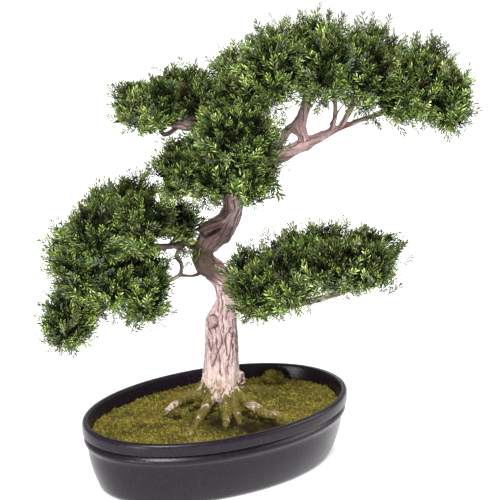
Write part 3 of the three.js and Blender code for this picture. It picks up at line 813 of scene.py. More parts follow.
def moss_on_wood(points, furrow, normals):
    """How far moss covers the foot of the trunk and the roots."""
    across, deep = points[:, 0] - TRUNK_FOOT[0], points[:, 1] - TRUNK_FOOT[1]
    out = np.hypot(across, deep)
    turn = np.arctan2(deep, across)
    climbing = wobble(points * [1, 1, 0.25], 9.0, 21) + 0.6 * wobble(points * [1, 1, 0.4], 4.0, 22)
    down = np.column_stack([14 * np.cos(turn), 14 * np.sin(turn), 0.12 * out])
    rays = wobble(down, 5.0, 25) + 0.5 * wobble(down, 2.4, 26)
    noise = wobble(points, 11.0, 23) + 0.6 * wobble(points, 5.0, 24)
    side = smoothstep(0.15, 0.65, np.abs(turn + 1.6))
    height = 66 + 15 * side + 7 * climbing + 5 * furrow
    on_trunk = (1 - smoothstep(height - 5, height + 10, points[:, 2])) * np.clip(0.95 + 0.35 * rays, 0, 1)
    on_foot = np.clip(0.95 + 0.2 * rays + 0.15 * noise, 0, 1)
    on_root = 0.95 + 0.2 * noise
    near, far = smoothstep(25, 33, out), smoothstep(38, 50, out)
    cover = on_trunk * (1 - near) + near * (on_foot * (1 - far) + on_root * far)
    front = 1 - smoothstep(0.25, 0.65, np.abs(turn + 1.62))
    patchy = smoothstep(24, 46, out + 7 * rays) + 0.4 * noise
    cover = cover * (1 - front) + patchy * front
    for across, deep, radius in BARE_ROOTS:
        gap = np.hypot(points[:, 0] - across, points[:, 1] - deep) + 1.5 * noise
        bare = 1 - smoothstep(0.45 * radius, radius, gap)
        cover = cover * (1 - bare * smoothstep(-0.3, 0.3, normals[:, 2]))
    return np.clip(cover, 0, 1) * (1 - smoothstep(MOSS_TOP - 4, MOSS_TOP + 6, points[:, 2]))


# Twigs


def nearest_on(names, at):
    """The nearest place on the named limbs, past their first quarter."""
    best, found = 1e9, None
    for name in names:
        line, _ = centre_line(LIMBS[name], 3.0)
        line = line[len(line) // 4 :]
        gaps = np.linalg.norm(line - at, axis=1)
        i = int(np.argmin(gaps))
        if gaps[i] < best:
            best, found = gaps[i], line[i]
    return found


def twig_lines(tufts, rng):
    """The bare stems, a main twig from its limb into each tuft, and side twigs that fan out from it."""
    lines = list(BARE_STEMS)
    for tuft in tufts:
        heart = tuft["centre"] - [0, 0, 0.25 * tuft["radii"][2]]
        start = nearest_on(tuft["limbs"], heart)
        bend = start + [0.55, 0.55, 0.35] * (heart - start)
        lines.append([[*start, 2.8], [*bend, 2.1], [*heart, 1.6]])
        for _ in range(TWIGS_PER_TUFT):
            way = unit(rng.normal(size=3) + [0, 0, 0.35])
            root = start + rng.uniform(0.5, 1.0) * (heart - start)
            tip = tuft["centre"] + way * tuft["radii"] * rng.uniform(0.5, 0.78)
            middle = root + 0.5 * (tip - root) + rng.normal(size=3) * 2.5 - [0, 0, 2.0]
            lines.append([[*root, 1.1], [*middle, 0.8], [*tip, 0.4]])
    return lines


def build_twigs(tufts, material):
    """Every twig as a thin tube of bark."""
    rng = np.random.default_rng(SEED + 7)
    parts, fibres = [], []
    for stations in twig_lines(tufts, rng):
        stout = stations[0][3] > 2
        limb = limb_rings("twig", stations, 5.0 if stout else 9.0)
        sides = 8 if stout else 4
        limb["line"] = limb["line"] + rng.normal(size=limb["line"].shape) * (0.25 if stout else 0.35)
        parts.append(tube(limb, sides))
        turn = np.tile(np.arange(sides) * 2 * math.pi / sides, len(limb["line"]))
        along = np.repeat(limb["along"], sides)
        around = float(limb["radii"].mean())
        fibre = np.stack([around * np.cos(turn), around * np.sin(turn), along], -1)
        fibres.append(np.vstack([fibre, np.zeros((2, 3))]))
    points, faces = joined(parts)
    zero = np.zeros(len(points))
    furrow = np.clip(0.3 + 0.3 * wobble(points, 6.0, 31), 0, 1)
    # The twigs are made dark brown through the shade value.
    twigs = mesh_object(
        "twigs", tree_to_pot(points), faces,
        furrow=furrow, fibre=np.vstack(fibres), seam=zero, shade=zero + 1.2, rust=zero, moss=zero,
    )
    dress(twigs, material, "wood")


# Foliage


def plan_tufts():
    """One or two tufts for each lobe of each cloud."""
    tufts = []
    for name, limbs, deep, reach, rows, lobes in CLOUDS:
        for number, (across, up, half_width, half_height) in enumerate(lobes):
            for part, way in [["_front", -1], ["_back", 1]] if rows == 2 else [["", 0]]:
                shift = ROW_SHIFT * half_width * way * (1 if number % 2 else -1)
                tufts.append({
                    "name": f"{name}_{number + 1}{part}",
                    "spikes": [],
                    "limbs": limbs,
                    "centre": np.array([across + shift, deep + ROW_DEPTH * reach * way, up], float),
                    "radii": np.array([half_width, reach, half_height], float),
                })
    for name, (deep, lines) in SPIKES.items():
        own = [tuft for tuft in tufts if tuft["name"].startswith(name + "_")]
        for x0, z0, x1, z1 in lines:
            start, end = np.array([x0, deep, z0], float), np.array([x1, deep, z1], float)
            nearest = min(own, key=lambda tuft: np.linalg.norm(tuft["centre"] - start))
            nearest["spikes"].append((start, end))
    return tufts


def finger(start, turn, lift, length, width):
    """A slim folded scale-leaf shoot in a sprig's plane: points, faces and distance along from 0 to 1."""
    way = unit(np.array([math.sin(turn), math.cos(turn), lift]))
    across = unit(np.cross(way, [0, 0, 1.0]))
    thick = np.cross(across, way)
    belly = 0.58
    middle = start + way * belly * length - thick * 0.3 * width
    points = [start, middle - across * 0.5 * width, middle + across * 0.5 * width, start + way * length]
    faces = [[0, 2, 3], [0, 3, 1]]
    return np.array(points), np.array(faces), np.array([0, belly, belly, 1])


def sprig_template(rng, slim):
    """A forked sprig a unit long in its own plane: points, faces, distance along and brightness."""
    curl = rng.uniform(-0.08, 0.08)
    bow = rng.uniform(0.0, 0.14)
    width = FINGER_WIDTH / SPRIG_LENGTH * (0.9 if slim else 1.0)

    def on_stem(t):
        return np.array([curl * math.sin(2.4 * t), 0.82 * t, bow * t * t])

    parts, shares, glows = [], [], []

    def grow(at, turn, lift, length, wide, first, last):
        p, f, s = finger(at, turn, lift, length, wide)
        parts.append((p, f))
        shares.append(first + (last - first) * s)
        glows.append(np.full(len(p), rng.normal()))

    for low, high, first, last in [[0.0, 0.46, 0.05, 0.3], [0.4, 0.84, 0.3, 0.75]]:
        base, way = on_stem(low), on_stem(high) - on_stem(low)
        length = 1.15 * float(np.linalg.norm(way))
        grow(base, math.atan2(way[0], way[1]), way[2], length, width * 0.75, first, last)
    hand = 1 if rng.random() < 0.5 else -1
    for t in np.linspace(0.34, 0.8, 4) if slim else np.linspace(0.18, 0.82, 7):
        hand = -hand
        t = t + rng.uniform(-0.03, 0.03)
        turn = hand * rng.uniform(0.45, 0.78) + 0.4 * curl
        length = rng.uniform(0.27, 0.38) * (1.1 - 0.25 * t)
        grow(on_stem(t), turn, rng.uniform(-0.25, 0.3), length, width, 0.2 + 0.1 * t, 0.85 + 0.15 * t)
    turn, lift, length = rng.uniform(-0.1, 0.1), rng.uniform(-0.1, 0.2), rng.uniform(0.24, 0.34)
    grow(on_stem(0.8), turn, lift, length, width, 0.4, 1.0)
    points, faces = joined(parts)
    return points, faces, np.concatenate(shares), np.concatenate(glows)


def share_of(tuft, points):
    """1 on the tuft's outside, 0 in its middle."""
    return np.linalg.norm((points - tuft["centre"]) / tuft["radii"], axis=-1)


def neighbours(tuft, tufts):
    """The other tufts that may cross this one."""
    return [
        other for other in tufts
        if other is not tuft and np.linalg.norm(other["centre"] - tuft["centre"]) < CROSSING_GAP
    ]


def clear_share(tuft, near, points):
    """How far out points are of the tuft and of all those near it: 1 outside them all, 0 in a middle."""
    share = share_of(tuft, points)
    for other in near:
        share = np.minimum(share, share_of(other, points))
    return share


def open_area(tuft, tufts):
    """About how much of a tuft's outside lies clear of the tufts round it."""
    ways = unit(np.random.default_rng(SEED).normal(size=(400, 3)))
    points = tuft["centre"] + ways * tuft["radii"]
    clear = clear_share(tuft, neighbours(tuft, tufts), points) > 0.8
    a, b, c = tuft["radii"]
    return clear.mean() * (a * b * c) ** (2 / 3)


def sprig_place(tuft, rng):
    """One sprig's tip, direction, outward direction and length, by chance within the tuft."""
    out = unit(rng.normal(size=3))
    draw = rng.random()
    if draw < 0.22:
        outer, length = rng.uniform(0.56, 0.8), 1.0
    elif draw < 0.86:
        outer, length = rng.uniform(0.84, 1.02), rng.uniform(0.8, 1.1)
    else:
        outer, length = rng.uniform(1.05, 1.3), rng.uniform(1.0, 1.25)
    tip = tuft["centre"] + out * tuft["radii"] * outer
    lift = np.array([0, 0, 0.55 * smoothstep(-0.75, -0.1, out[2])])
    way = unit(out * [0.95, 0.38, 0.5] + lift + 0.2 * rng.normal(size=3))
    return tip, way, unit(out / tuft["radii"]), SPRIG_LENGTH * length


def sprig_frame(way, normal, rng):
    """A sprig's three directions, its fan turned roughly flat to the cloud's surface."""
    across = unit(np.cross(way, normal + 0.8 * rng.normal(size=3)))
    return np.stack([across, way, np.cross(across, way)])


def in_clear(seen, deep):
    """Whether a sprig would hide a place that stays free."""
    return any(
        deep < most and math.hypot(seen[0] - across, seen[1] - up) < radius
        for across, up, radius, most in CLEAR
    )


def cloud_sprigs(tuft, near, count, rng):
    """Sprigs by chance within the tuft, clear of the tufts near it and of the places that stay free."""
    found = []
    for _ in range(TRIES * count):
        if len(found) == count:
            break
        tip, way, normal, length = sprig_place(tuft, rng)
        underside = tip[2] < tuft["centre"][2] - 0.6 * tuft["radii"][2]
        if underside and rng.random() < UNDERSIDE_SPARED:
            continue
        if near and clear_share(near[0], near[1:], tip) < KEPT_OUT:
            continue
        if in_clear(as_seen(tip - 0.4 * length * way), tip[1]):
            continue
        found.append((tip - way * length, sprig_frame(way, normal, rng), length))
    return found


def lone_sprigs(tuft, rng):
    """The sprigs that stand out of the cloud's edge, and the loose ones that hang there."""
    found = []
    for start, end in tuft["spikes"]:
        length = np.linalg.norm(end - start) + SPIKE_ROOT
        way = unit(end - start)
        found.append((end - way * length, sprig_frame(way, np.array([0, -1.0, 0]), rng), length))
    for name, start, end, number, lean in LOOSE:
        start, end = np.array(start, float), np.array(end, float)
        for _ in range(number if name == tuft["name"] else 0):
            way = unit(0.7 * rng.normal(size=3) + lean)
            root = start + rng.random() * (end - start) + rng.normal(size=3) * 3
            frame = sprig_frame(way, rng.normal(size=3), rng)
            found.append((root, frame, SPRIG_LENGTH * rng.uniform(0.7, 1.05)))
    return found


def place_sprigs(tuft, tufts, count, rng):
    """Where sprigs go: roots, directions, lengths, and how many come before the lone ones."""
    found = cloud_sprigs(tuft, neighbours(tuft, tufts), count, rng)
    lone = len(found)
    found += lone_sprigs(tuft, rng)
    roots, frames, lengths = (np.array(values) for values in zip(*found))
    return roots, frames, lengths, lone


def heart_mesh(tuft, seed):
    """A lumpy middle that the sprigs hide, coloured near black as painted shade within the tuft."""
    points, faces = ball(2)
    spikes = np.random.default_rng(seed).uniform(-0.16, 0.16, len(points))
    lumps = 1 + 0.14 * wobble(points, 0.9, seed) + spikes
    return tuft["centre"] + points * lumps[:, None] * HEART_SHARE * tuft["radii"], faces


def sprig_kinds(tips, rng):
    """0 for a green sprig, 1 for a bluish one and 2 for a rusty one."""
    near = np.zeros(len(tips))
    for across, up, radius in RUSTY_PLACES:
        gap = np.hypot(tips[:, 0] - across, tips[:, 2] - up)
        near = np.maximum(near, 1 - smoothstep(0.5 * radius, radius, gap))
    draw = rng.random(len(tips))
    rusty = draw < RUSTY_SHARES[0] + near * RUSTY_SHARES[1]
    return np.where(rusty, 2.0, np.where(draw > 1 - BLUISH_SHARE, 1.0, 0.0))


def sprig_tints(tuft, near, tips, lone, rng):
    """How bright each sprig is, and its kind. Those at the edge and the lone ones are duller and darker, as
    painted shade of sprigs seen against the light.
    """
    tint = 0.46 + 0.08 * wobble(tips, 60.0, 77) + 0.12 * wobble(tips, 17.0, 78)
    tint += 0.07 * rng.normal(size=len(tips))
    outside = clear_share(tuft, near, tips)
    # Painted shade: the far-out sprigs and the lone ones are darkened.
    tint[outside > FAR_OUT] -= 0.16
    tint[lone:] -= 0.08
    kind = sprig_kinds(tips, rng)
    kind[(outside > EDGE) & (rng.random(len(tips)) < 0.3)] = LONE_HUE
    kind[lone:] = LONE_HUE
    return tint, kind


def build_tuft(tuft, tufts, count, templates, number, material):
    """One tuft: a heart painted dark as shade, and the forked sprigs that stand out of it."""
    rng = np.random.default_rng(SEED + 100 + number)
    near = neighbours(tuft, tufts)
    roots, frames, lengths, lone = place_sprigs(tuft, tufts, count, rng)
    heap = Heap()
    heap.add(*heart_mesh(tuft, 300 + number), along=0.0, outer=0.0, tint=0.0, hue=0.0)
    which = rng.integers(0, len(templates), len(roots))
    tips = roots + frames[:, 1] * lengths[:, None]
    tint, kind = sprig_tints(tuft, near, tips, lone, rng)
    for i, (shape, sides, along, glow) in enumerate(templates):
        own = np.flatnonzero(which == i)
        placed = np.einsum("pk,nkj->npj", shape, frames[own]) * lengths[own, None, None] + roots[own, None]
        placed = placed.reshape(-1, 3)
        start = np.arange(len(own))[:, None, None] * len(shape)
        # outer, each point's depth among the tufts, becomes painted shade in the material; glow lifts some
        # fingers' tips into the painted glints.
        heap.add(
            placed, (sides[None] + start).reshape(-1, 3),
            along=np.tile(along, len(own)), outer=clear_share(tuft, near, placed),
            tint=(tint[own, None] + 0.22 * glow[None]).ravel(), hue=np.repeat(kind[own], len(shape)),
        )
    if tuft["name"].startswith("inner"):
        for stations in GREEN_STEMS:
            heap.add(*tube(limb_rings("stem", stations, 3.0), 5), along=0.6, outer=1.0, tint=0.4, hue=0.0)
    spray = heap.mesh(f"sprigs_{tuft['name']}", tree_to_pot, smooth=False)
    dress(spray, material, f"foliage_{tuft['name']}")


# Pot, moss and soil


def oval_points(length, width, count):
    """Points round a superellipse."""
    turn = np.arange(count) * 2 * math.pi / count
    c, s = np.cos(turn), np.sin(turn)
    x = length * np.sign(c) * np.abs(c) ** (2 / OVAL_POWER)
    y = width * np.sign(s) * np.abs(s) ** (2 / OVAL_POWER)
    return np.stack([x, y], -1)


def build_pot(material):
    """The pot, turned on an oval with a rounded rim, groove and foot."""
    rows = []
    for inset, height in POT_PROFILE:
        ring = oval_points(POT_LENGTH / 2 - inset, POT_WIDTH / 2 - inset, POT_SEGMENTS)
        rows.append(np.column_stack([ring, np.full(POT_SEGMENTS, height)]))
    points = np.vstack([*rows, [[0, 0, POT_PROFILE[0][1]], [0, 0, POT_PROFILE[-1][1]]]])
    pot = mesh_object("planter", points, ring_faces(len(rows), POT_SEGMENTS))
    dress(pot, material, "pot")


def moss_height(points):
    """Height of the moss at points of the pot, and how much painted shade each has from the hollows."""
    low = flat(points)
    tree = pot_to_tree(low)[:, :2]
    across, deep = (tree - TRUNK_FOOT).T
    foot = np.hypot(across, deep)
    height = MOSS_EDGE + 4 * np.exp(-((foot / 42) ** 2))
    for root in ROOTS:
        gaps = [np.linalg.norm(tree - station[:2], axis=1) for station in root[1:-1]]
        height = height + 2.2 * np.exp(-((np.min(gaps, axis=0) / 14) ** 2))
    front = np.hypot(across / 20, (deep + 30) / 13)
    height = height - 4.5 * np.exp(-(front**2))
    height = height + 0.8 * np.sin(0.09 * points[:, 0] + 1) * np.cos(0.11 * points[:, 1])
    for strength, wavelength, seed in [(0.8, 16.0, 61), (0.6, 6.0, 62), (0.4, 3.0, 63)]:
        height = height + strength * wobble(low, wavelength, seed)
    # Each hollow sinks the moss and darkens it round about as painted shade.
    hollow = np.zeros(len(points))
    for across, deep, radius, depth, darkness in HOLLOWS:
        gap = np.linalg.norm(tree - [across, deep], axis=1) + 1.8 * wobble(low, 8.0, 64)
        pit = np.exp(-((np.maximum(gap, 0) / radius) ** 2))
        height = height - depth * pit
        hollow = np.maximum(hollow, darkness * pit)
    return height, hollow


def moss_bed(length, width):
    """The closed mat under the leaves, and the painted shade at each point from the hollows."""
    rim = oval_points(length, width, MOSS_SEGMENTS)
    shares = np.linspace(0, 1, MOSS_RINGS + 1)[1:] ** 0.8
    grid = (rim[None] * shares[:, None, None]).reshape(-1, 2)
    height, hollow = moss_height(flat(grid))
    height = height - 1.5 * smoothstep(0.97, 1.0, np.repeat(shares, MOSS_SEGMENTS))
    middle, middle_hollow = moss_height(np.zeros((1, 3)))
    skirt = np.column_stack([rim * 0.985, np.full(MOSS_SEGMENTS, MOSS_BOTTOM)])
    points = np.vstack([np.column_stack([grid, height]), skirt, [[0, 0, middle[0]], [0, 0, MOSS_BOTTOM]]])
    faces = ring_faces(MOSS_RINGS + 1, MOSS_SEGMENTS)[:, ::-1]
    return points, faces, np.concatenate([hollow, np.zeros(MOSS_SEGMENTS), middle_hollow, [0.0]])


def build_moss(material, root_spots, root_ways):
    """A closed mat of moss with short leaves all over it and over the mossy wood."""
    rng = np.random.default_rng(SEED + 3)
    length, width = POT_LENGTH / 2 - MOSS_INSET, POT_WIDTH / 2 - MOSS_INSET
    heap = Heap()
    points, faces, hollow = moss_bed(length, width)
    heap.add(points, faces, hollow=hollow, blade=0.0, tint=0.3)

    spots = rng.uniform(-1, 1, (int(MOSS_BLADES * 1.4), 2))
    spots = spots[(np.abs(spots) ** OVAL_POWER).sum(1) < 0.97][:MOSS_BLADES]
    spots = flat(spots * [length, width])
    height, hollow = moss_height(spots)
    spots[:, 2] = height - 0.5
    up = np.tile([0, 0, 1.0], (len(spots), 1))
    body, leaf_spots, leaf_ways = tump_parts(rng)
    heap.add(*body, hollow=0.1, blade=0.0, tint=0.75)
    # Painted shade for the blades: from the hollows on the bed, none on the wood, a little on the tump.
    for at, ways, size, deep, glow in [
        (spots, up, 3.0, hollow, 0.5),
        (root_spots - root_ways * 0.4, root_ways, 2.2, 0.0, 0.42),
        (leaf_spots, leaf_ways, 6.5, 0.22, 0.5),
    ]:
        blades = blade_mesh(at, ways, size, rng)
        tint = glow + 0.2 * wobble(at, 7.0, 95) + 0.09 * rng.normal(size=len(at))
        heap.add(
            *blades, hollow=np.repeat(np.broadcast_to(deep, len(at)), 4),
            blade=np.tile([0.2, 0.2, 0.2, 1.0], len(at)), tint=np.repeat(tint, 4),
        )
    dress(heap.mesh("moss_mat"), material, "moss")


def blade_mesh(spots, up, size, rng):
    """Small three-sided leaves that lean every way."""
    count = len(spots)
    lean = unit(up + 0.55 * rng.normal(size=(count, 3)))
    side = unit(np.cross(lean, rng.normal(size=(count, 3))))
    other = np.cross(lean, side)
    wide = rng.uniform(0.45, 0.85, (count, 1))
    tall = size * rng.uniform(0.5, 1.25, (count, 1))
    turns = [0, 2 * math.pi / 3, 4 * math.pi / 3]
    corners = [spots + wide * (math.cos(turn) * side + math.sin(turn) * other) for turn in turns]
    points = np.stack([*corners, spots + tall * lean], 1).reshape(-1, 3)
    start = np.arange(count)[:, None] * 4
    sides = [[0, 1, 3], [1, 2, 3], [2, 0, 3]]
    return points, np.concatenate([start + np.array([side]) for side in sides])


def tump_parts(rng):
    """The fuzzy tump: its body, and the places and directions of its leaves."""
    points, faces = ball(3)
    middle = tree_to_pot(TUMP)
    ways = unit(rng.normal(size=(TUMP_BLADES, 3)) + [0, 0, 0.4])
    body, spots = (
        middle + spread * (share + 0.3 * wobble(spread, 0.9, 91))[:, None] * TUMP_RADII
        for spread, share in [(points, 0.76), (ways, 0.72)]
    )
    return (body, faces), spots, ways


# Materials


def grey(value):
    return (value, value, value)


class Net:
    """A new material's nodes, with a short way to add each kind."""

    def __init__(self, name):
        self.material = bpy.data.materials.new(name)
        self.material.use_nodes = True
        self.nodes = self.material.node_tree.nodes
        self.links = self.material.node_tree.links
        self.shader = self.nodes["Principled BSDF"]

    def add(self, kind, **values):
        """A node with these inputs and properties."""
        node = self.nodes.new(kind)
        for key, value in values.items():
            if key in node.inputs:
                node.inputs[key].default_value = value
            else:
                setattr(node, key, value)
        return node

    def feed(self, socket, value):
        """Gives a socket another's output, a colour or a number."""
        if isinstance(value, (int, float)):
            socket.default_value = value
        elif isinstance(value, (tuple, list)):
            socket.default_value = (*value, 1.0)
        else:
            self.links.new(value, socket)

    def place(self):
        """The place on the object, in metres."""
        return self.nodes.new("ShaderNodeTexCoord").outputs["Object"]

    def attribute(self, name, output="Fac"):
        return self.add("ShaderNodeAttribute", attribute_name=name).outputs[output]

    def mix(self, factor, first, second, blend="MIX"):
        """A colour between first and second."""
        node = self.add("ShaderNodeMix", data_type="RGBA", blend_type=blend)
        for number, value in [[0, factor], [6, first], [7, second]]:
            self.feed(node.inputs[number], value)
        return node.outputs[2]

    def ramp(self, value, *stops):
        """A colour ramp over value. Each stop is [position, colour]."""
        node = self.nodes.new("ShaderNodeValToRGB")
        elements = node.color_ramp.elements
        while len(elements) < len(stops):
            elements.new(0.5)
        for element, (position, colour) in zip(elements, stops):
            element.position = position
            element.color = (*colour, 1.0)
        self.links.new(value, node.inputs[0])
        return node.outputs[0]

    def noise(self, vector, scale, detail=4.0, roughness=0.55):
        node = self.add("ShaderNodeTexNoise", Scale=scale, Detail=detail, Roughness=roughness)
        self.links.new(vector, node.inputs["Vector"])
        return node.outputs["Fac"]

    def arithmetic(self, operation, *values):
        node = self.add("ShaderNodeMath", operation=operation)
        for socket, value in zip(node.inputs, values):
            self.feed(socket, value)
        return node.outputs[0]

    def times(self, value, factor):
        return self.arithmetic("MULTIPLY", value, factor)

    def with_noise(self, value, speck, strength):
        """value with a noise about its middle added."""
        centred = self.arithmetic("SUBTRACT", speck, 0.5)
        return self.arithmetic("ADD", value, self.times(centred, strength))

    def between(self, value, low, high):
        """0 below low, 1 above high."""
        node = self.add("ShaderNodeMapRange", **{"From Min": low, "From Max": high})
        self.links.new(value, node.inputs["Value"])
        return node.outputs[0]

    def finish(self, colour, roughness, specular, height, strength, distance):
        """Links the colour and the bump, sets the gloss and returns the material."""
        self.links.new(colour, self.shader.inputs["Base Color"])
        self.feed(self.shader.inputs["Roughness"], roughness)
        if specular is not None:
            self.shader.inputs["Specular IOR Level"].default_value = specular
        node = self.add("ShaderNodeBump", Strength=strength, Distance=distance)
        self.links.new(height, node.inputs["Height"])
        self.links.new(node.outputs[0], self.shader.inputs["Normal"])
        return self.material


def bark_tones(net, place, streak):
    """The bark's own colour: pale and speckled at the foot, darker above the elbow and on the limbs."""
    split = net.add("ShaderNodeSeparateXYZ")
    net.links.new(place, split.inputs[0])
    up = split.outputs[2]
    low = net.ramp(
        streak, [0.30, (0.32, 0.205, 0.195)], [0.45, (0.52, 0.372, 0.36)], [0.62, (0.71, 0.55, 0.53)],
    )
    pale = net.ramp(
        streak, [0.30, (0.46, 0.31, 0.25)], [0.45, (0.74, 0.57, 0.49)], [0.62, (0.92, 0.77, 0.69)],
    )
    top = net.ramp(
        streak, [0.30, (0.21, 0.137, 0.125)], [0.46, (0.50, 0.36, 0.345)], [0.66, (0.84, 0.66, 0.65)],
    )
    limb = net.ramp(
        streak, [0.30, (0.19, 0.112, 0.10)], [0.45, (0.39, 0.262, 0.245)], [0.62, (0.59, 0.43, 0.40)],
    )
    speckled = net.ramp(
        net.noise(place, 330.0, 3.0, 0.7),
        [0.38, (0.24, 0.15, 0.085)], [0.5, (0.70, 0.53, 0.43)], [0.62, (0.95, 0.82, 0.72)],
    )
    foot = net.mix(net.between(up, 0.098, 0.078), pale, speckled)
    colour = net.mix(net.between(up, 0.125, 0.085), low, foot)
    above = net.mix(net.between(up, 0.318, 0.342), top, limb)
    return net.mix(net.between(up, 0.185, 0.235), colour, above)


def bark_material():
    """Pinkish bark with fibres, rust stains, dark furrows partly painted as shade, painted shade on the elbow,
    under the fold and down the seams, and moss at the foot.
    """
    net = Net("bark")
    place = net.place()
    stretch = net.add("ShaderNodeMapping", Scale=(1.0, 1.0, 0.13))
    net.links.new(net.attribute("fibre", "Vector"), stretch.inputs["Vector"])
    streak = net.noise(stretch.outputs[0], 0.55, 5.0, 0.65)
    fine = net.noise(stretch.outputs[0], 1.9, 4.0, 0.65)
    blotch = net.noise(stretch.outputs[0], 0.17, 2.0)
    colour = bark_tones(net, place, streak)
    patch = net.ramp(blotch, [0.4, (0.66, 0.63, 0.70)], [0.58, (1.0, 1.0, 1.0)])
    colour = net.mix(0.7, colour, patch, "MULTIPLY")
    rust = net.times(net.attribute("rust"), 0.4)
    colour = net.mix(rust, colour, (0.20, 0.095, 0.05))
    # Painted shade, mostly: the dark streaks on the elbow's left, under the fold and on the neck's left;
    # partly darker bark on roots, twigs, the cut face and a thin limb.
    shade = net.times(net.attribute("shade"), 0.93)
    colour = net.mix(shade, colour, (0.042, 0.025, 0.019))
    # The furrows and the groove round the cut collar darken: partly the bark's own darker colour there, partly
    # painted shade in the grooves.
    furrow_share = net.ramp(net.attribute("furrow"), [0.25, grey(0.0)], [0.8, grey(0.88)])
    colour = net.mix(furrow_share, colour, (0.085, 0.038, 0.032))
    fine_share = net.ramp(fine, [0.36, grey(0.75)], [0.48, grey(0.0)])
    colour = net.mix(fine_share, colour, (0.17, 0.095, 0.08))
    # Painted shade: near black down the deep seams.
    colour = net.mix(net.attribute("seam"), colour, (0.014, 0.008, 0.006))
    grain = net.noise(place, 600.0, 4.0, 0.7)
    moss_colour = net.ramp(
        grain, [0.36, (0.034, 0.024, 0.008)], [0.52, (0.14, 0.108, 0.026)], [0.7, (0.34, 0.285, 0.085)],
    )
    cover = net.with_noise(net.attribute("moss"), grain, 1.3)
    colour = net.mix(net.between(cover, 0.4, 0.62), colour, moss_colour)
    relief = net.arithmetic("ADD", streak, net.times(fine, 0.6))
    return net.finish(colour, 0.8, 0.22, relief, 1.0, 0.0014)


def foliage_material():
    """Scaly green sprigs with painted shade within the clouds, lighter at the tips where the palest are
    painted glints, some bluish and some rusty.
    """
    net = Net("foliage")
    place = net.place()
    along = net.attribute("along")
    outer = net.attribute("outer")
    hue = net.attribute("hue")
    value = net.with_noise(net.attribute("tint"), net.noise(place, 700.0, 2.0), 0.5)
    leaf = net.ramp(
        value,
        [0.0, (0.002, 0.006, 0.0003)], [0.25, (0.007, 0.017, 0.0007)], [0.5, (0.040, 0.079, 0.012)],
        [0.75, (0.117, 0.187, 0.036)], [1.0, (0.22, 0.29, 0.09)],
    )
    # The tips' lighter green; the pale top of this ramp is a painted highlight that stands for glints on the
    # fingers.
    tip = net.ramp(
        value,
        [0.0, (0.025, 0.040, 0.010)], [0.26, (0.110, 0.172, 0.032)], [0.48, (0.265, 0.395, 0.056)],
        [0.7, (0.54, 0.70, 0.19)], [0.95, (0.90, 0.96, 0.50)],
    )
    colour = net.mix(net.between(along, 0.4, 0.88), leaf, tip)
    from_bluish = net.arithmetic("ABSOLUTE", net.arithmetic("SUBTRACT", hue, 1.0))
    bluish = net.arithmetic("SUBTRACT", 1.0, from_bluish)
    grey_leaf = net.ramp(along, [0.3, (0.012, 0.018, 0.014)], [0.95, (0.17, 0.23, 0.185)])
    grey_share = net.times(net.between(bluish, 0.2, 0.8), 0.6)
    colour = net.mix(grey_share, colour, grey_leaf)
    rusty = net.ramp(along, [0.3, (0.026, 0.013, 0.007)], [1.0, (0.11, 0.058, 0.026)])
    rusty_share = net.times(net.between(hue, 1.4, 1.8), 0.8)
    colour = net.mix(rusty_share, colour, rusty)
    stem_share = net.ramp(along, [0.04, grey(0.8)], [0.2, grey(0.0)])
    colour = net.mix(stem_share, colour, (0.035, 0.028, 0.012))
    # Painted shade: sprigs deep in a tuft or between tufts are darkened.
    shade = net.ramp(
        outer, [0.5, grey(0.02)], [0.7, grey(0.09)], [0.84, grey(0.42)], [1.0, grey(1.0)],
    )
    colour = net.mix(1.0, colour, shade, "MULTIPLY")
    # Painted shade: the tufts' hearts are near black.
    deep = net.ramp(
        net.noise(place, 380.0, 3.0, 0.7),
        [0.44, (0.001, 0.003, 0.0003)], [0.56, (0.008, 0.017, 0.002)], [0.68, (0.040, 0.072, 0.008)],
    )
    colour = net.mix(net.between(outer, 0.3, 0.1), colour, deep)
    roughness = net.ramp(outer, [0.6, grey(1.0)], [0.95, grey(0.36)])
    return net.finish(colour, roughness, 0.11, net.noise(place, 1300.0, 1.0), 0.5, 0.0004)


def moss_material():
    """Olive moss with bright leaf tips, and painted shade in the hollows and wide shaded places."""
    net = Net("moss")
    place = net.place()
    broad = net.noise(place, 30.0, 4.0)
    grain = net.noise(place, 420.0, 4.0, 0.75)
    value = net.with_noise(net.attribute("tint"), broad, 0.7)
    value = net.with_noise(value, grain, 0.45)
    colour = net.ramp(
        value,
        [0.14, (0.020, 0.017, 0.005)], [0.38, (0.090, 0.078, 0.012)], [0.60, (0.275, 0.220, 0.026)],
        [0.9, (0.60, 0.51, 0.11)],
    )
    ruddy = net.noise(place, 22.0, 3.0)
    ruddy_share = net.ramp(ruddy, [0.46, grey(0.0)], [0.66, grey(0.5)])
    colour = net.mix(ruddy_share, colour, net.mix(0.7, colour, (0.21, 0.115, 0.03)))
    tip_share = net.times(net.attribute("blade"), 0.24)
    colour = net.mix(tip_share, colour, (0.30, 0.27, 0.05))
    # Painted shade: near black in the hollows beside the roots and over the wide shaded places.
    hollow_share = net.ramp(net.attribute("hollow"), [0.16, grey(0.0)], [0.62, grey(0.92)])
    colour = net.mix(hollow_share, colour, (0.010, 0.006, 0.002))
    return net.finish(colour, 0.9, 0.12, grain, 1.0, 0.0016)


def pot_material():
    """Dark satin plastic with a fine tooth."""
    net = Net("pot_plastic")
    place = net.place()
    grain = net.noise(place, 1500.0, 2.0)
    speck = net.noise(place, 950.0, 3.0, 0.7)
    smear = net.noise(place, 18.0, 3.0)
    colour = net.ramp(
        speck, [0.38, (0.004, 0.002, 0.004)], [0.56, (0.008, 0.004, 0.009)], [0.72, (0.048, 0.037, 0.052)],
    )
    roughness = net.ramp(smear, [0.35, grey(0.22)], [0.65, grey(0.3)])
    return net.finish(colour, roughness, 0.22, grain, 0.3, 0.0004)


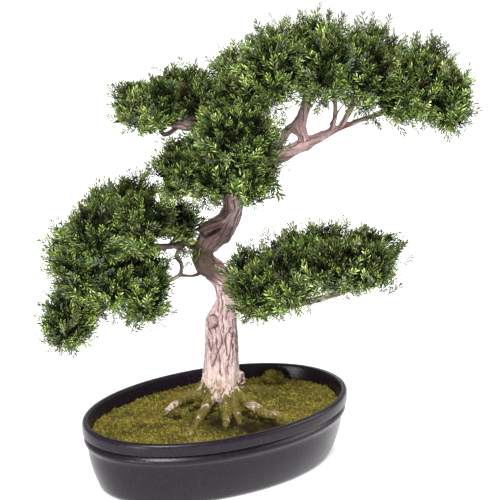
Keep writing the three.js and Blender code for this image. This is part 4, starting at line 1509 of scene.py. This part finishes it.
def soil_material():
    """Dark planting mix."""
    net = Net("soil")
    place = net.place()
    grit = net.noise(place, 240.0, 6.0, 0.7)
    colour = net.ramp(
        grit, [0.3, (0.012, 0.008, 0.005)], [0.55, (0.05, 0.032, 0.02)], [0.75, (0.14, 0.1, 0.07)],
    )
    return net.finish(colour, 0.95, None, grit, 1.0, 0.002)


# Scene


def area_light(name, location, target, size, power):
    data = bpy.data.lights.new(name, "AREA")
    data.shape = "SQUARE"
    data.size = size
    data.energy = power
    light = bpy.data.objects.new(name, data)
    light.location = location
    light.rotation_mode = "QUATERNION"
    light.rotation_quaternion = (Vector(target) - Vector(location)).to_track_quat("-Z", "Y")
    bpy.context.scene.collection.objects.link(light)


def build_stage():
    """A white floor under a white sky, soft lights and the camera of the photograph's angle."""
    scene = bpy.context.scene
    corners = np.array([[-1, -1], [1, -1], [1, 1], [-1, 1]]) * FLOOR_REACH
    points = np.column_stack([corners, np.full(4, FLOOR_HEIGHT)])
    floor = mesh_object("floor", points, np.array([[0, 1, 2, 3]]))
    net = Net("floor")
    net.feed(net.shader.inputs["Base Color"], (0.92, 0.92, 0.92))
    net.feed(net.shader.inputs["Roughness"], 0.9)
    net.feed(net.shader.inputs["Emission Color"], (1, 1, 1))
    net.feed(net.shader.inputs["Emission Strength"], 0.3)
    floor.data.materials.append(net.material)
    world = bpy.data.worlds.new("sky")
    world.use_nodes = True
    world.node_tree.nodes["Background"].inputs[0].default_value = (1, 1, 1, 1)
    world.node_tree.nodes["Background"].inputs[1].default_value = 0.65
    scene.world = world
    scene.view_settings.view_transform = "Standard"
    for name, (location, target, size, power) in LIGHTS.items():
        area_light(name, location, target, size, power)

    target = Vector(tree_to_pot(CAMERA_TARGET) * MM)
    across = math.cos(CAMERA_TILT)
    back = Vector((math.sin(TREE_TURN) * across, -math.cos(TREE_TURN) * across, math.sin(CAMERA_TILT)))
    data = bpy.data.cameras.new("camera")
    data.sensor_width = 36
    data.lens = CAMERA_LENS
    camera = bpy.data.objects.new("camera", data)
    camera.location = target + back * CAMERA_DISTANCE
    camera.rotation_mode = "QUATERNION"
    camera.rotation_quaternion = (-back).to_track_quat("-Z", "Y")
    scene.collection.objects.link(camera)
    scene.camera = camera


def main():
    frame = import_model()
    build_stage()
    bark = bark_material()
    leaves = foliage_material()
    build_pot(pot_material())
    soil = frame["nodes"]["soil"]
    soil.data.materials.clear()
    soil.data.materials.append(soil_material())
    trunk, limbs = wood_limbs()
    mossy_points, mossy_ways = build_wood("trunk_bark", trunk, TRUNK_VOXEL, SEED, bark)
    build_wood("limb_bark", limbs, LIMB_VOXEL, SEED + 30, bark)
    build_moss(moss_material(), mossy_points, mossy_ways)
    tufts = plan_tufts()
    build_twigs(tufts, bark)
    rng = np.random.default_rng(SEED)
    templates = [sprig_template(rng, number % 4 == 3) for number in range(TEMPLATES)]
    areas = np.array([open_area(tuft, tufts) for tuft in tufts])
    counts = np.round(SPRIGS * areas / areas.sum()).astype(int)
    for number, tuft in enumerate(tufts):
        build_tuft(tuft, tufts, counts[number], templates, number, leaves)


main()
